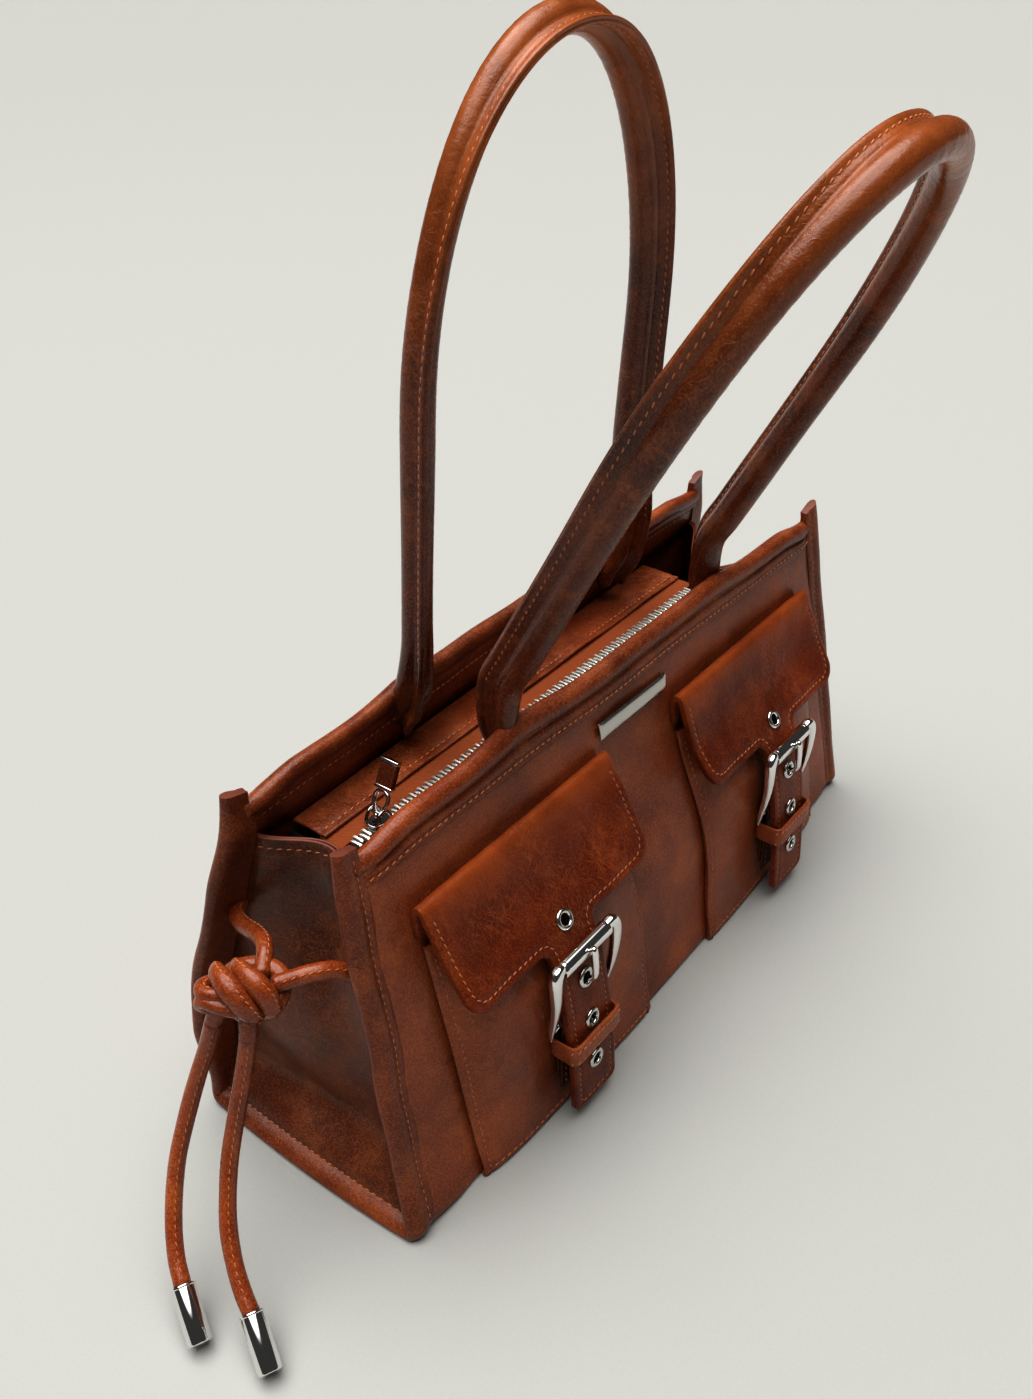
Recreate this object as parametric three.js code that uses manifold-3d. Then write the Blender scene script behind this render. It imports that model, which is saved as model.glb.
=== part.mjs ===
// A structured leather shoulder bag: a box body that narrows towards its top, two tall padded
// handles, a recessed zip, two flap pockets with buckled straps, and a knotted tie at its left end.
//
// Millimetres. +X runs along the bag to its right end, -Y is the pocket side, +Z is up, and the
// origin is the centre of the flat face that the bag stands on.

import * as THREE from 'three';
import Module from 'manifold-3d';
import { mergeVertices } from 'three/addons/utils/BufferGeometryUtils.js';

const wasm = await Module();
wasm.setup();

// ---- Driving dimensions ---------------------------------------------------------------------

const GAP = 0.3; // between pieces that touch

const LENGTH_BOTTOM = 320;
const LENGTH_TOP = 289;
const HEIGHT = 151;
const DEPTH_BOTTOM = 104;
const DEPTH_TOP_LEFT = 48; // the tie draws this end together
const DEPTH_TOP_RIGHT = 60.5;

const BULGE = 8.2; // how far the middle of each panel swells out, at mid-height
const BULGE_HEIGHT = 50;
const BULGE_REACH = 55; // above that height it is flat again

const PANEL = 3; // outer leather, board and backing
const LEATHER = 1.5;
const RIM_WIDTH = 10; // how far an end seam stands out past its gusset
const RIM_THICK = 6.5;
const RIM_PROUD = 1;
const RIM_CORNER = 9;
const RIM_BASE = 11; // the end seam is deeper where it runs under the end
const GUSSET_TOP = 131;
const FOLD_LEFT = 9; // how far the top of each gusset folds into the bag
const FOLD_RIGHT = 35;

const ZIP_HEIGHT = 125; // top of the leather strips beside the zip
const ZIP_LEFT = -122;
const ZIP_RIGHT = 99;
const LINING_LEFT = -124;
const LINING_RIGHT = 97;
const TAPE_HALF = 9;
const TOOTH_PITCH = 4;
const SLIDER_X = -106;
const SLIDER_LENGTH = 9;
const PULL_LEAN = 28; // degrees from upright, towards +X

const HANDLE_RADIUS = 5.5;
const SEAM_WIDTH = 5; // flat stitched seam that stands out of each handle
const SEAM_THICK = 3;
const HANDLE_HALF = 65;
const HANDLE_OFFSET = 16; // from the bag's middle plane to each handle's hinge line
const HANDLE_FOOT = 138;
const HINGE_HEIGHT = 157;
const HANDLE_ARCH = 104;
const FRONT_HANDLE = { name: 'front_handle', side: -1, lean: 30, leg: 99, sway: -8 };
const BACK_HANDLE = { name: 'back_handle', side: 1, lean: 4.5, leg: 95, sway: 5 };

const POCKET_CENTRE = 75;
const POCKET_WIDTH = 102;
const POCKET_WALL = 1.8;
const POCKET_GAP = 0.5;
const FLAP_WIDTH = 104;
const FLAP_THICK = 2.4;
const FLAP_CORNER = 8;
const FOLD_HEIGHT = 117; // where each flap hinges
const STRAP_WIDTH = 25;

const BUCKLE_HALF = 17;
const BAR = { y: -62.9, z: 77 };
const HEEL = { y: -59.9, z: 47 };
const BAR_RADIUS = 1.7;
const HEEL_RADIUS = 1.25;
const ROLLER_RADIUS = 3;

const CORD_RADIUS = 2.9;
const TIP_RADIUS = 4;
const TIP_LENGTH = 18.4;

// ---- Colours ----------------------------------------------------------------------------------

const COGNAC = new THREE.MeshStandardMaterial({ color: 0x8a4522, roughness: 0.38, metalness: 0 });
const TAN_TAPE = new THREE.MeshStandardMaterial({ color: 0xb0602c, roughness: 0.85, metalness: 0 });
const BLACK_CLOTH = new THREE.MeshStandardMaterial({ color: 0x14110f, roughness: 0.9, metalness: 0 });
const GREY_BOARD = new THREE.MeshStandardMaterial({ color: 0x6b6259, roughness: 0.9, metalness: 0 });
const CHROME = new THREE.MeshStandardMaterial({ color: 0xd4d2cc, roughness: 0.08, metalness: 1 });
const NICKEL = new THREE.MeshStandardMaterial({ color: 0xa9a69f, roughness: 0.22, metalness: 1 });

// ---- Shape tools ------------------------------------------------------------------------------

const { lerp, clamp, degToRad, smoothstep } = THREE.MathUtils;

const steps = (count) => Array.from({ length: count + 1 }, (_, i) => i / count);
const vec = (x, y, z) => new THREE.Vector3(x, y, z);

const bag = new THREE.Group();

function add(name, geometry, material) {
  const mesh = new THREE.Mesh(geometry, material.clone());
  mesh.name = name;
  bag.add(mesh);
  return mesh;
}

function closedGeometry(points, faces) {
  const geometry = new THREE.BufferGeometry();
  const flat = points.flatMap((p) => [p.x, p.y, p.z]);
  geometry.setAttribute('position', new THREE.Float32BufferAttribute(flat, 3));
  geometry.setIndex(faces);
  return geometry;
}

function signedVolume(points, faces) {
  let volume = 0;
  for (let i = 0; i < faces.length; i += 3) {
    const [a, b, c] = [points[faces[i]], points[faces[i + 1]], points[faces[i + 2]]];
    volume += a.dot(vec().crossVectors(b, c));
  }
  return volume;
}

// Joins a row of rings, each with the same even count of points, into one closed body. Each end is
// closed by strips between the ring's first half and its second half, taken backwards.
function loft(rings) {
  const count = rings[0].length;
  const points = rings.flat();
  const faces = [];
  const quad = (a, b, c, d) => faces.push(a, b, c, a, c, d);
  for (let i = 0; i < rings.length - 1; i++) {
    for (let j = 0; j < count; j++) {
      const next = (j + 1) % count;
      quad(i * count + j, i * count + next, (i + 1) * count + next, (i + 1) * count + j);
    }
  }
  const last = (rings.length - 1) * count;
  for (let j = 0; j < count / 2 - 1; j++) {
    quad(j, count - 1 - j, count - 2 - j, j + 1);
    quad(last + j, last + j + 1, last + count - 2 - j, last + count - 1 - j);
  }
  if (signedVolume(points, faces) < 0) {
    faces.reverse();
  }
  return closedGeometry(points, faces);
}

// A sheet with two faces: place(u, v, face) is the point at u across and v along, on face 0 or 1.
function sheet(across, along, place) {
  const rings = steps(along).map((v) => [
    ...steps(across).map((u) => place(u, v, 0)),
    ...steps(across).reverse().map((u) => place(u, v, 1)),
  ]);
  return loft(rings);
}

// A strap of constant thickness that follows a line in the YZ plane, with its width along X.
function strap(line, thickness, halfWidthAt, centreX) {
  const rings = line.map((p, i) => {
    const before = line[Math.max(i - 1, 0)];
    const after = line[Math.min(i + 1, line.length - 1)];
    const along = new THREE.Vector2().subVectors(after, before).normalize();
    const half = halfWidthAt(i);
    const corner = (sx, sn) => vec(
      centreX + sx * half,
      p.x - (sn * along.y * thickness) / 2,
      p.y + (sn * along.x * thickness) / 2,
    );
    return [corner(-1, -1), corner(1, -1), corner(1, 1), corner(-1, 1)];
  });
  return loft(rings);
}

function circle(radius, sides) {
  const shape = new THREE.Shape();
  for (let i = 0; i < sides; i++) {
    const angle = (2 * Math.PI * i) / sides;
    const [x, y] = [radius * Math.cos(angle), radius * Math.sin(angle)];
    if (i === 0) {
      shape.moveTo(x, y);
    } else {
      shape.lineTo(x, y);
    }
  }
  shape.closePath();
  return shape;
}

function tube(points, radius, sides, stepCount) {
  const extrudePath = new THREE.CatmullRomCurve3(points, false, 'centripetal');
  return new THREE.ExtrudeGeometry(circle(radius, sides), { extrudePath, steps: stepCount });
}

function box(low, high) {
  const size = vec().subVectors(high, low);
  const middle = vec().addVectors(low, high).multiplyScalar(0.5);
  return new THREE.BoxGeometry(size.x, size.y, size.z).translate(middle.x, middle.y, middle.z);
}

// A round bar or disc along X from one x to another, about the line (y, z).
function barAlongX(radius, from, to, y, z, sides = 12) {
  const bar = new THREE.CylinderGeometry(radius, radius, to - from, sides);
  return bar.rotateZ(Math.PI / 2).translate((from + to) / 2, y, z);
}

function solid(geometry) {
  const plain = geometry.clone();
  plain.deleteAttribute('normal');
  plain.deleteAttribute('uv');
  const merged = mergeVertices(plain, 1e-4);
  const vertProperties = new Float32Array(merged.attributes.position.array);
  const triVerts = new Uint32Array(merged.index.array);
  return new wasm.Manifold(new wasm.Mesh({ numProp: 3, vertProperties, triVerts }));
}

function geometryOf(manifold) {
  const mesh = manifold.getMesh();
  const geometry = new THREE.BufferGeometry();
  geometry.setAttribute('position', new THREE.BufferAttribute(mesh.vertProperties, 3));
  geometry.setIndex(new THREE.BufferAttribute(mesh.triVerts, 1));
  return geometry;
}

const join = (...pieces) => geometryOf(pieces.map(solid).reduce((a, b) => a.add(b)));
const cut = (body, ...tools) => geometryOf(tools.map(solid).reduce((a, b) => a.subtract(b), solid(body)));

// ---- The body's outer surface -------------------------------------------------------------------

const halfLength = (z) => lerp(LENGTH_BOTTOM, LENGTH_TOP, z / HEIGHT) / 2;

// A full panel swells most in its middle, still half as much at the floor, and not at all at the ends.
function bulge(x, z) {
  const above = clamp((z - BULGE_HEIGHT) / BULGE_REACH, 0, 1);
  const below = clamp((BULGE_HEIGHT - z) / BULGE_HEIGHT, 0, 1);
  const level = above > 0 ? 0.5 + 0.5 * Math.cos(Math.PI * above) : 0.75 + 0.25 * Math.cos(Math.PI * below);
  const outwards = clamp((Math.abs(x) - 40) / 110, 0, 1);
  return BULGE * level * (0.5 + 0.5 * Math.cos(Math.PI * outwards));
}

function halfDepth(x, z) {
  const top = lerp(DEPTH_TOP_LEFT, DEPTH_TOP_RIGHT, x / LENGTH_BOTTOM + 0.5);
  return lerp(DEPTH_BOTTOM, top, z / HEIGHT) / 2 + bulge(x, z);
}

const panelEnd = (z) => halfLength(z) - RIM_WIDTH - GAP;

// ---- Panels, lining and board -------------------------------------------------------------------

const BINDING_ROLL = 4;
const PANEL_TOP = HEIGHT - BINDING_ROLL - 1;

function sidePanel(side) {
  return sheet(24, 10, (u, v, face) => {
    const z = v * PANEL_TOP;
    const x = lerp(-panelEnd(z), panelEnd(z), u);
    return vec(x, side * (halfDepth(x, z) - face * PANEL), z);
  });
}

add('front_panel', sidePanel(-1), COGNAC);
add('back_panel', sidePanel(1), COGNAC);

const FLOOR_X = panelEnd(PANEL);
const FLOOR_Y = halfDepth(FLOOR_X, PANEL) - PANEL - GAP;
add('bottom_panel', sheet(1, 24, (u, v, face) => {
  const x = lerp(-FLOOR_X, FLOOR_X, v);
  return vec(x, (2 * u - 1) * (halfDepth(x, PANEL) - PANEL - 2 * GAP), face * PANEL);
}), COGNAC);

const BOARD_EDGE = 4;
const BOARD_TOP = PANEL + GAP + 2;
const boardLow = vec(4 - FLOOR_X, BOARD_EDGE - FLOOR_Y, PANEL + GAP);
const boardHigh = vec(FLOOR_X - 4, FLOOR_Y - BOARD_EDGE, BOARD_TOP);
add('base_board', box(boardLow, boardHigh), GREY_BOARD);

// The lining is one open-topped bag: its rings run up the outside and down the inside.
function liningRing(z, inset) {
  const rows = [[-1, -1], [1, -1], [1, 1], [-1, 1]];
  return rows.map(([sx, sy]) => {
    const x = sx < 0 ? LINING_LEFT + inset : LINING_RIGHT - inset;
    return vec(x, sy * (halfDepth(x, z) - PANEL - 1.3 - inset), z);
  });
}

const LINING = 0.8;
const LINING_TOP = ZIP_HEIGHT - 4;
const LINING_LOW = BOARD_TOP + GAP;
const liningRings = [
  liningRing(LINING_LOW, 0),
  liningRing(LINING_TOP, 0),
  liningRing(LINING_TOP, LINING),
  liningRing(LINING_LOW + LINING, LINING),
];
add('lining', loft(liningRings), BLACK_CLOTH);

// ---- Gussets and end seams ----------------------------------------------------------------------

// The middle of each gusset folds inwards, more and more towards its top.
const GUSSET_INSET = PANEL + 1.6;

function gusset(end, fold) {
  return sheet(10, 7, (u, v, face) => {
    const z = lerp(PANEL + GAP, GUSSET_TOP, v);
    const crease = fold * smoothstep(v, 0.15, 1) * (0.5 + 0.5 * Math.cos(2 * Math.PI * (u - 0.5)));
    const x = end * (panelEnd(z) - face * LEATHER - crease);
    return vec(x, (2 * u - 1) * (halfDepth(x, z) - GUSSET_INSET), z);
  });
}

const RIM_CORNER_THICK = 8.3;

// Each end seam is one folded strip: down the front edge, round under the end and up the back edge.
function rimStations(end) {
  const legHeights = steps(8).map((t) => lerp(HEIGHT, RIM_CORNER, t));
  const turn = steps(5).slice(1);
  const low = halfDepth(end * halfLength(RIM_CORNER), RIM_CORNER) + RIM_PROUD;
  const down = legHeights.map((z) => {
    const y = -(halfDepth(end * halfLength(z), z) + RIM_PROUD);
    return { y, z, inwardY: 1, inwardZ: 0 };
  });
  const corner = turn.map((t) => {
    const angle = (t * Math.PI) / 2;
    const [across, upward] = [Math.cos(angle), Math.sin(angle)];
    const deep = lerp(1, RIM_CORNER_THICK / RIM_THICK, t);
    const y = -low + RIM_CORNER * (1 - across);
    return { y, z: RIM_CORNER * (1 - upward), inwardY: across * deep, inwardZ: upward * deep };
  });
  const under = [[12, 0.3], [24, 1]].map(([inset, share]) => {
    const deep = lerp(RIM_CORNER_THICK, RIM_BASE, share) / RIM_THICK;
    return { y: -low + inset, z: 0, inwardY: 0, inwardZ: deep };
  });
  const half = [...down, ...corner, ...under];
  const mirrored = half.map((s) => ({ ...s, y: -s.y, inwardY: -s.inwardY })).reverse();
  return [...half, ...mirrored];
}

function rim(end) {
  const bevel = 2;
  const outline = [[RIM_WIDTH, 0], [bevel, 0], [0, bevel], [0, RIM_THICK - bevel], [bevel, RIM_THICK],
    [RIM_WIDTH, RIM_THICK]];
  const rings = rimStations(end).map((s) => outline.map(([along, deep]) => vec(
    end * (halfLength(s.z) - along),
    s.y + s.inwardY * deep,
    s.z + s.inwardZ * deep,
  )));
  return loft(rings);
}

add('left_gusset', gusset(-1, FOLD_LEFT), COGNAC);
add('right_gusset', gusset(1, FOLD_RIGHT), COGNAC);
add('left_end_seam', rim(-1), COGNAC);
add('right_end_seam', rim(1), COGNAC);

// ---- Rolled top edges ---------------------------------------------------------------------------

// Each top edge is a folded strip over the panel: a short outer leg, a roll, and a long inner leg
// that faces the inside of the bag down to the zip. Out is measured from the panel's outer face.
const EDGE_OUTER_DROP = 15;
const EDGE_INNER_DROP = HEIGHT - ZIP_HEIGHT - GAP;
const EDGE_SKIN = [[GAP + LEATHER, -EDGE_OUTER_DROP], [GAP + LEATHER, -7], [2.5, -4], [1.2, -1.2], [-1.5, 0],
  [-3.8, -1.2], [-4.7, -4], [-4.3, -7], [-4.3, -EDGE_INNER_DROP]];
const EDGE_BACK = [[GAP, -EDGE_OUTER_DROP], [GAP, -7], [GAP, -5.2], [GAP, -4.6], [-1.5, -4.6],
  [-PANEL - GAP, -4.6], [-PANEL - GAP, -5.2], [-PANEL - GAP, -7], [-PANEL - GAP, -EDGE_INNER_DROP]];

function topEdge(side) {
  const columns = EDGE_SKIN.length - 1;
  return sheet(columns, 8, (u, v, face) => {
    const [out, drop] = (face ? EDGE_BACK : EDGE_SKIN)[Math.round(u * columns)];
    const z = HEIGHT + drop;
    const x = lerp(-panelEnd(z), panelEnd(z), v);
    return vec(x, side * (halfDepth(x, z) + out), z);
  });
}

add('front_top_edge', topEdge(-1), COGNAC);
add('back_top_edge', topEdge(1), COGNAC);

// ---- Zip ------------------------------------------------------------------------------------------

const TAPE_TOP = ZIP_HEIGHT - LEATHER - GAP;
const TAPE_THICK = 0.7;
const TAPE_EDGE = 2.9;
const TOOTH_TIP = 0.8;
const TOOTH_ROOT = 1.6;
const TOOTH_BACK = 2.6;
const TOOTH_WIDTH = 2;
const TOOTH_HIGH = 2.2;

function zipStrip(side) {
  return sheet(8, 1, (u, v, face) => {
    const x = lerp(ZIP_LEFT, ZIP_RIGHT, u);
    const z = ZIP_HEIGHT - v * LEATHER;
    const outer = halfDepth(x, z) - PANEL - GAP - LEATHER;
    return vec(x, side * (face ? TAPE_HALF : outer), z);
  });
}

function zipTape(side) {
  const [near, far] = [TAPE_EDGE * side, (TAPE_HALF + 3) * side];
  const low = vec(ZIP_LEFT, Math.min(near, far), TAPE_TOP - TAPE_THICK);
  const high = vec(ZIP_RIGHT, Math.max(near, far), TAPE_TOP);
  return box(low, high);
}

function zipTeeth(side) {
  const outline = new THREE.Shape();
  const count = Math.floor((ZIP_RIGHT - ZIP_LEFT - 6) / TOOTH_PITCH);
  const start = ZIP_LEFT + 3 + (side > 0 ? TOOTH_PITCH / 2 : 0);
  outline.moveTo(start, side * TOOTH_BACK);
  for (let i = 0; i < count; i++) {
    const x = start + i * TOOTH_PITCH;
    outline.lineTo(x, side * TOOTH_ROOT);
    outline.lineTo(x + 0.6, side * TOOTH_TIP);
    outline.lineTo(x + TOOTH_WIDTH, side * TOOTH_TIP);
    outline.lineTo(x + TOOTH_WIDTH + 0.6, side * TOOTH_ROOT);
  }
  outline.lineTo(start + (count - 1) * TOOTH_PITCH + TOOTH_WIDTH + 0.6, side * TOOTH_BACK);
  outline.closePath();
  const teeth = new THREE.ExtrudeGeometry(outline, { depth: TOOTH_HIGH, bevelEnabled: false });
  return teeth.translate(0, 0, TAPE_TOP - TAPE_THICK / 2 - TOOTH_HIGH / 2);
}

for (const [name, side] of [['front', -1], ['back', 1]]) {
  add(`${name}_zip_strip`, zipStrip(side), COGNAC);
  add(`${name}_zip_tape`, zipTape(side), TAN_TAPE);
  add(`${name}_zip_teeth`, zipTeeth(side), NICKEL);
}

// The slider is two plates joined by a web that runs in the slot between the rows of teeth. On top,
// two posts hold the pin that the pull swings on.
const PLATE_TOP = TAPE_TOP + 2.4;
const PIN_HEIGHT = PLATE_TOP + 2.6;

function zipSlider() {
  const [x0, x1] = [SLIDER_X - SLIDER_LENGTH / 2, SLIDER_X + SLIDER_LENGTH / 2];
  const top = box(vec(x0, -4, PLATE_TOP - 1.1), vec(x1, 4, PLATE_TOP));
  const bottom = box(vec(x0, -4, TAPE_TOP - 3.4), vec(x1, 4, TAPE_TOP - 2.3));
  const web = box(vec(x0 + 1, -0.4, TAPE_TOP - 3), vec(x0 + 7, 0.4, PLATE_TOP - 0.5));
  const posts = [-1, 1].map((side) => box(
    vec(SLIDER_X - 1.4, side * 2.5 - 0.6, PLATE_TOP - 0.5),
    vec(SLIDER_X + 1.4, side * 2.5 + 0.6, PIN_HEIGHT + 1.2),
  ));
  const pin = new THREE.CylinderGeometry(0.7, 0.7, 5, 10).translate(SLIDER_X, 0, PIN_HEIGHT);
  return join(top, bottom, web, ...posts, pin);
}

const pullFrame = (geometry) => geometry.rotateY(degToRad(PULL_LEAN)).translate(SLIDER_X, 0, PIN_HEIGHT);

function zipPullLink() {
  const eye = new THREE.CylinderGeometry(2, 2, 3, 12);
  const blade = box(vec(-0.6, -1.5, 1.5), vec(0.6, 1.5, 4));
  const plate = box(vec(-0.6, -3, 3.4), vec(0.6, 3, 9.4));
  const hole = new THREE.CylinderGeometry(1.1, 1.1, 8, 12);
  return pullFrame(cut(join(eye, blade, plate), hole));
}

add('zip_slider', zipSlider(), CHROME);
add('zip_pull_link', zipPullLink(), CHROME);
add('zip_pull_tab', pullFrame(box(vec(-1.3, -3.6, 9.7), vec(1.3, 3.6, 19))), COGNAC);

// ---- Handles --------------------------------------------------------------------------------------

const HANDLE_SIDES = 12;
const SEAM_TURN = 38; // degrees that the seam turns outwards on the legs, none at the top

// The handle's section: a round tube with the flat seam standing out along `seam`. `radius` and
// `grow` draw the tube and its seam in towards an end.
function handleRing(centre, seam, along, radius = HANDLE_RADIUS, grow = 1) {
  const across = vec().crossVectors(along, seam).normalize();
  const reach = radius + Math.max(grow * SEAM_WIDTH, 0.1);
  const start = Math.asin(SEAM_THICK / 2 / HANDLE_RADIUS);
  const half = radius * Math.sin(start);
  const point = (s, a) => centre.clone().addScaledVector(seam, s).addScaledVector(across, a);
  const ring = steps(HANDLE_SIDES - 1).map((t) => {
    const angle = lerp(start, 2 * Math.PI - start, t);
    return point(radius * Math.cos(angle), radius * Math.sin(angle));
  });
  return [...ring, point(reach, -half), point(reach, half)];
}

// A handle stands in the plane through its hinge line, leaning to the front by `lean` degrees.
function handleFrame({ side, lean, leg, sway }) {
  const up = vec(0, -Math.sin(degToRad(lean)), Math.cos(degToRad(lean)));
  const inward = vec(0, -side * Math.cos(degToRad(lean)), -side * Math.sin(degToRad(lean)));
  return { up, inward, at: (x, rise) => vec(x + (sway * rise) / (leg + HANDLE_ARCH), side * HANDLE_OFFSET, HINGE_HEIGHT)
    .addScaledVector(up, rise) };
}

// Each end of the loop is a ball on its hinge line, above which the seam starts.
const LOOP_END = [[-5.4, 1, 0], [-4.9, 2.5, 0], [-3.7, 4.1, 0], [-2, 5.1, 0], [0, 5.5, 0], [3, 5.5, 0.05], [9, 5.5, 1]];

function handleLoop(handle) {
  const { up, inward, at } = handleFrame(handle);
  const end = LOOP_END.map(([rise, radius, grow]) => ({ x: -1, rise, arc: 0, radius, grow }));
  const upper = steps(4).slice(1, -1).map((t) => ({ x: -1, rise: lerp(9, handle.leg, t), arc: 0 }));
  const arch = steps(20).map((t) => {
    const arc = t * Math.PI;
    return { x: -Math.cos(arc), rise: handle.leg + HANDLE_ARCH * Math.sin(arc), arc };
  });
  const leg = [...end, ...upper];
  const stations = [...leg, ...arch, ...leg.map((s) => ({ ...s, x: 1, arc: Math.PI })).reverse()];
  return loft(stations.map(({ x, rise, arc, radius, grow }) => {
    const along = vec(HANDLE_HALF * Math.sin(arc), 0, 0).addScaledVector(up, HANDLE_ARCH * Math.cos(arc));
    along.normalize();
    const outward = vec().crossVectors(along, vec().crossVectors(up, vec(1, 0, 0))).normalize();
    const turn = degToRad(SEAM_TURN) * Math.cos(arc) ** 2;
    const sideways = Math.sign(outward.dot(vec(x, 0, 0)) || 1);
    const seam = inward.clone().multiplyScalar(Math.cos(turn));
    seam.addScaledVector(outward, sideways * Math.sin(turn));
    return handleRing(at(x * HANDLE_HALF, rise), seam.normalize(), along, radius, grow);
  }));
}

// Each handle ends in two short upright feet, sewn to the inside of the top edge.
function handleFoot({ side }, end) {
  const along = vec(0, 0, 1);
  const turn = degToRad(SEAM_TURN);
  const seam = vec(end * Math.sin(turn), -side * Math.cos(turn), 0);
  const heights = [HANDLE_FOOT, HINGE_HEIGHT - HANDLE_RADIUS - GAP];
  return loft(heights.map((z) => handleRing(vec(end * HANDLE_HALF, side * HANDLE_OFFSET, z), seam, along)));
}

for (const handle of [FRONT_HANDLE, BACK_HANDLE]) {
  add(`${handle.name}_loop`, handleLoop(handle), COGNAC);
  add(`${handle.name}_left_foot`, handleFoot(handle, -1), COGNAC);
  add(`${handle.name}_right_foot`, handleFoot(handle, 1), COGNAC);
}

// ---- Badge ----------------------------------------------------------------------------------------

const BADGE = { x: 22, low: 122.5, high: 129.5, thick: 2 };
add('front_badge', sheet(4, 1, (u, v, face) => {
  const z = lerp(BADGE.low, BADGE.high, v);
  const x = lerp(-BADGE.x, BADGE.x, u);
  return vec(x, -(halfDepth(x, z) + GAP + face * BADGE.thick), z);
}), CHROME);

// ---- Pockets --------------------------------------------------------------------------------------

// The pocket's sides and bottom lie on the panel, and its front swells off it, most under the flap.
// Its top is open. Each entry is the middle of its front, as (y, z).
const POCKET_LINE = [[-57.8, 0], [-57.2, 11], [-56.5, 22], [-56.4, 34], [-56.4, 46], [-56, 56], [-55.2, 66],
  [-52.6, 75], [-49.4, 83], [-43.6, 93]];
const POCKET_EDGE = 2.4;

function pocketBlock(centre, inset, floor, backOff, extraTop) {
  const levels = POCKET_LINE.length - 1;
  const half = POCKET_WIDTH / 2;
  return sheet(16, levels, (u, v, face) => {
    const [middle, z] = POCKET_LINE[Math.round(v * levels)];
    const height = Math.max(z, floor) + (v === 1 ? extraTop : 0);
    const across = (2 * u - 1) * (1 - inset / half);
    const x = centre + across * half;
    const edge = halfDepth(x, z) + POCKET_GAP + POCKET_EDGE;
    const front = edge + Math.max(-middle - edge, 0) * (1 - across ** 4) - inset;
    return vec(x, face ? -(halfDepth(x, height) + backOff) : -front, height);
  });
}

function pocket(centre) {
  return cut(pocketBlock(centre, 0, 0, POCKET_GAP, 0), pocketBlock(centre, POCKET_WALL, 3, -2, 5));
}

// The line that the flap and its strap follow down from the hinge, as (y, z).
function flapLine(centre) {
  const root = new THREE.Vector2(-(halfDepth(centre, FOLD_HEIGHT) + 2.4), FOLD_HEIGHT);
  const knots = [root, [-45.5, 98.5], [-54.6, 83.5], [-59.2, 74], [-62.3, 63.5], [-65, 45], [-66.8, 26], [-67.6, 5.5]];
  const points = knots.map((p) => (Array.isArray(p) ? new THREE.Vector2(...p) : p));
  return new THREE.SplineCurve(points);
}

const FLAP_SHARE = 2 / 7; // of the line's length in knots that the wide flap covers

function flapBody(centre) {
  const line = flapLine(centre);
  const flapPoints = steps(8).map((t) => line.getPoint(t * FLAP_SHARE));
  const lowest = flapPoints[8];
  const rounding = (i) => {
    const rise = Math.min(lowest.distanceTo(flapPoints[i]), FLAP_CORNER);
    const missing = FLAP_CORNER - Math.sqrt(FLAP_CORNER ** 2 - (FLAP_CORNER - rise) ** 2);
    return FLAP_WIDTH / 2 - missing;
  };
  const strapPoints = steps(14).map((t) => line.getPoint(lerp(FLAP_SHARE * 0.8, 1, t)));
  const strapHalf = (i) => STRAP_WIDTH / 2 - (i > 12 ? (i - 12) * 1.5 : 0);
  const wide = strap(flapPoints, FLAP_THICK, rounding, centre);
  const narrow = strap(strapPoints, FLAP_THICK, strapHalf, centre);
  return join(wide, narrow);
}

// Where each eyelet sits on the line, as a share of its knots.
const EYELETS = [1.85 / 7, 4 / 7, 5.02 / 7, 6.05 / 7];
const EYELET_SECTION = [[2.2, -1.9], [3.7, -1.9], [3.7, -1.5], [2.6, -1.5], [2.6, 1.5], [3.7, 1.5], [3.7, 1.8],
  [2.2, 1.8], [2.2, -1.9]];

function atLine(geometry, centre, share) {
  const line = flapLine(centre);
  const spot = line.getPoint(share);
  const along = line.getTangent(share);
  const tilt = Math.atan2(along.x, -along.y);
  return geometry.rotateX(tilt).translate(centre, spot.x, spot.y);
}

function eyelet(centre, share) {
  const profile = EYELET_SECTION.map(([r, t]) => new THREE.Vector2(r, t));
  return atLine(new THREE.LatheGeometry(profile, 10), centre, share);
}

// ---- Buckles --------------------------------------------------------------------------------------

// Each leg of the frame tapers from the shoulder beside the roller to the heel bar, bowing outwards.
function buckleLeg(centre, end) {
  const line = [[BAR.y, BAR.z + 2.4, 1.9, 2.6], [BAR.y - 0.6, 72, 1.7, 2.8], [BAR.y - 1, 64, 1.5, 2.2],
    [-62.4, 55, 1.3, 1.8], [HEEL.y - 0.3, HEEL.z, 1.2, 1.6], [-59.2, 43.5, 0.6, 0.8]];
  const rings = line.map(([y, z, wide, deep]) => steps(7).map((t) => {
    const angle = 2 * Math.PI * t * (7 / 8);
    return vec(centre + end * BUCKLE_HALF + wide * Math.cos(angle), y + deep * Math.sin(angle), z);
  }));
  return loft(rings);
}

function buckleFrame(centre) {
  const [x0, x1] = [centre - BUCKLE_HALF, centre + BUCKLE_HALF];
  return join(
    barAlongX(BAR_RADIUS, x0, x1, BAR.y, BAR.z),
    barAlongX(HEEL_RADIUS, x0, x1, HEEL.y, HEEL.z, 10),
    buckleLeg(centre, -1),
    buckleLeg(centre, 1),
  );
}

function buckleRoller(centre) {
  const half = BUCKLE_HALF - 3;
  const section = [[2.1, -half], [ROLLER_RADIUS, -half], [ROLLER_RADIUS, half], [2.1, half], [2.1, -half]];
  const profile = section.map(([r, t]) => new THREE.Vector2(r, t));
  return new THREE.LatheGeometry(profile, 14).rotateZ(Math.PI / 2).translate(centre, BAR.y, BAR.z);
}

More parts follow.
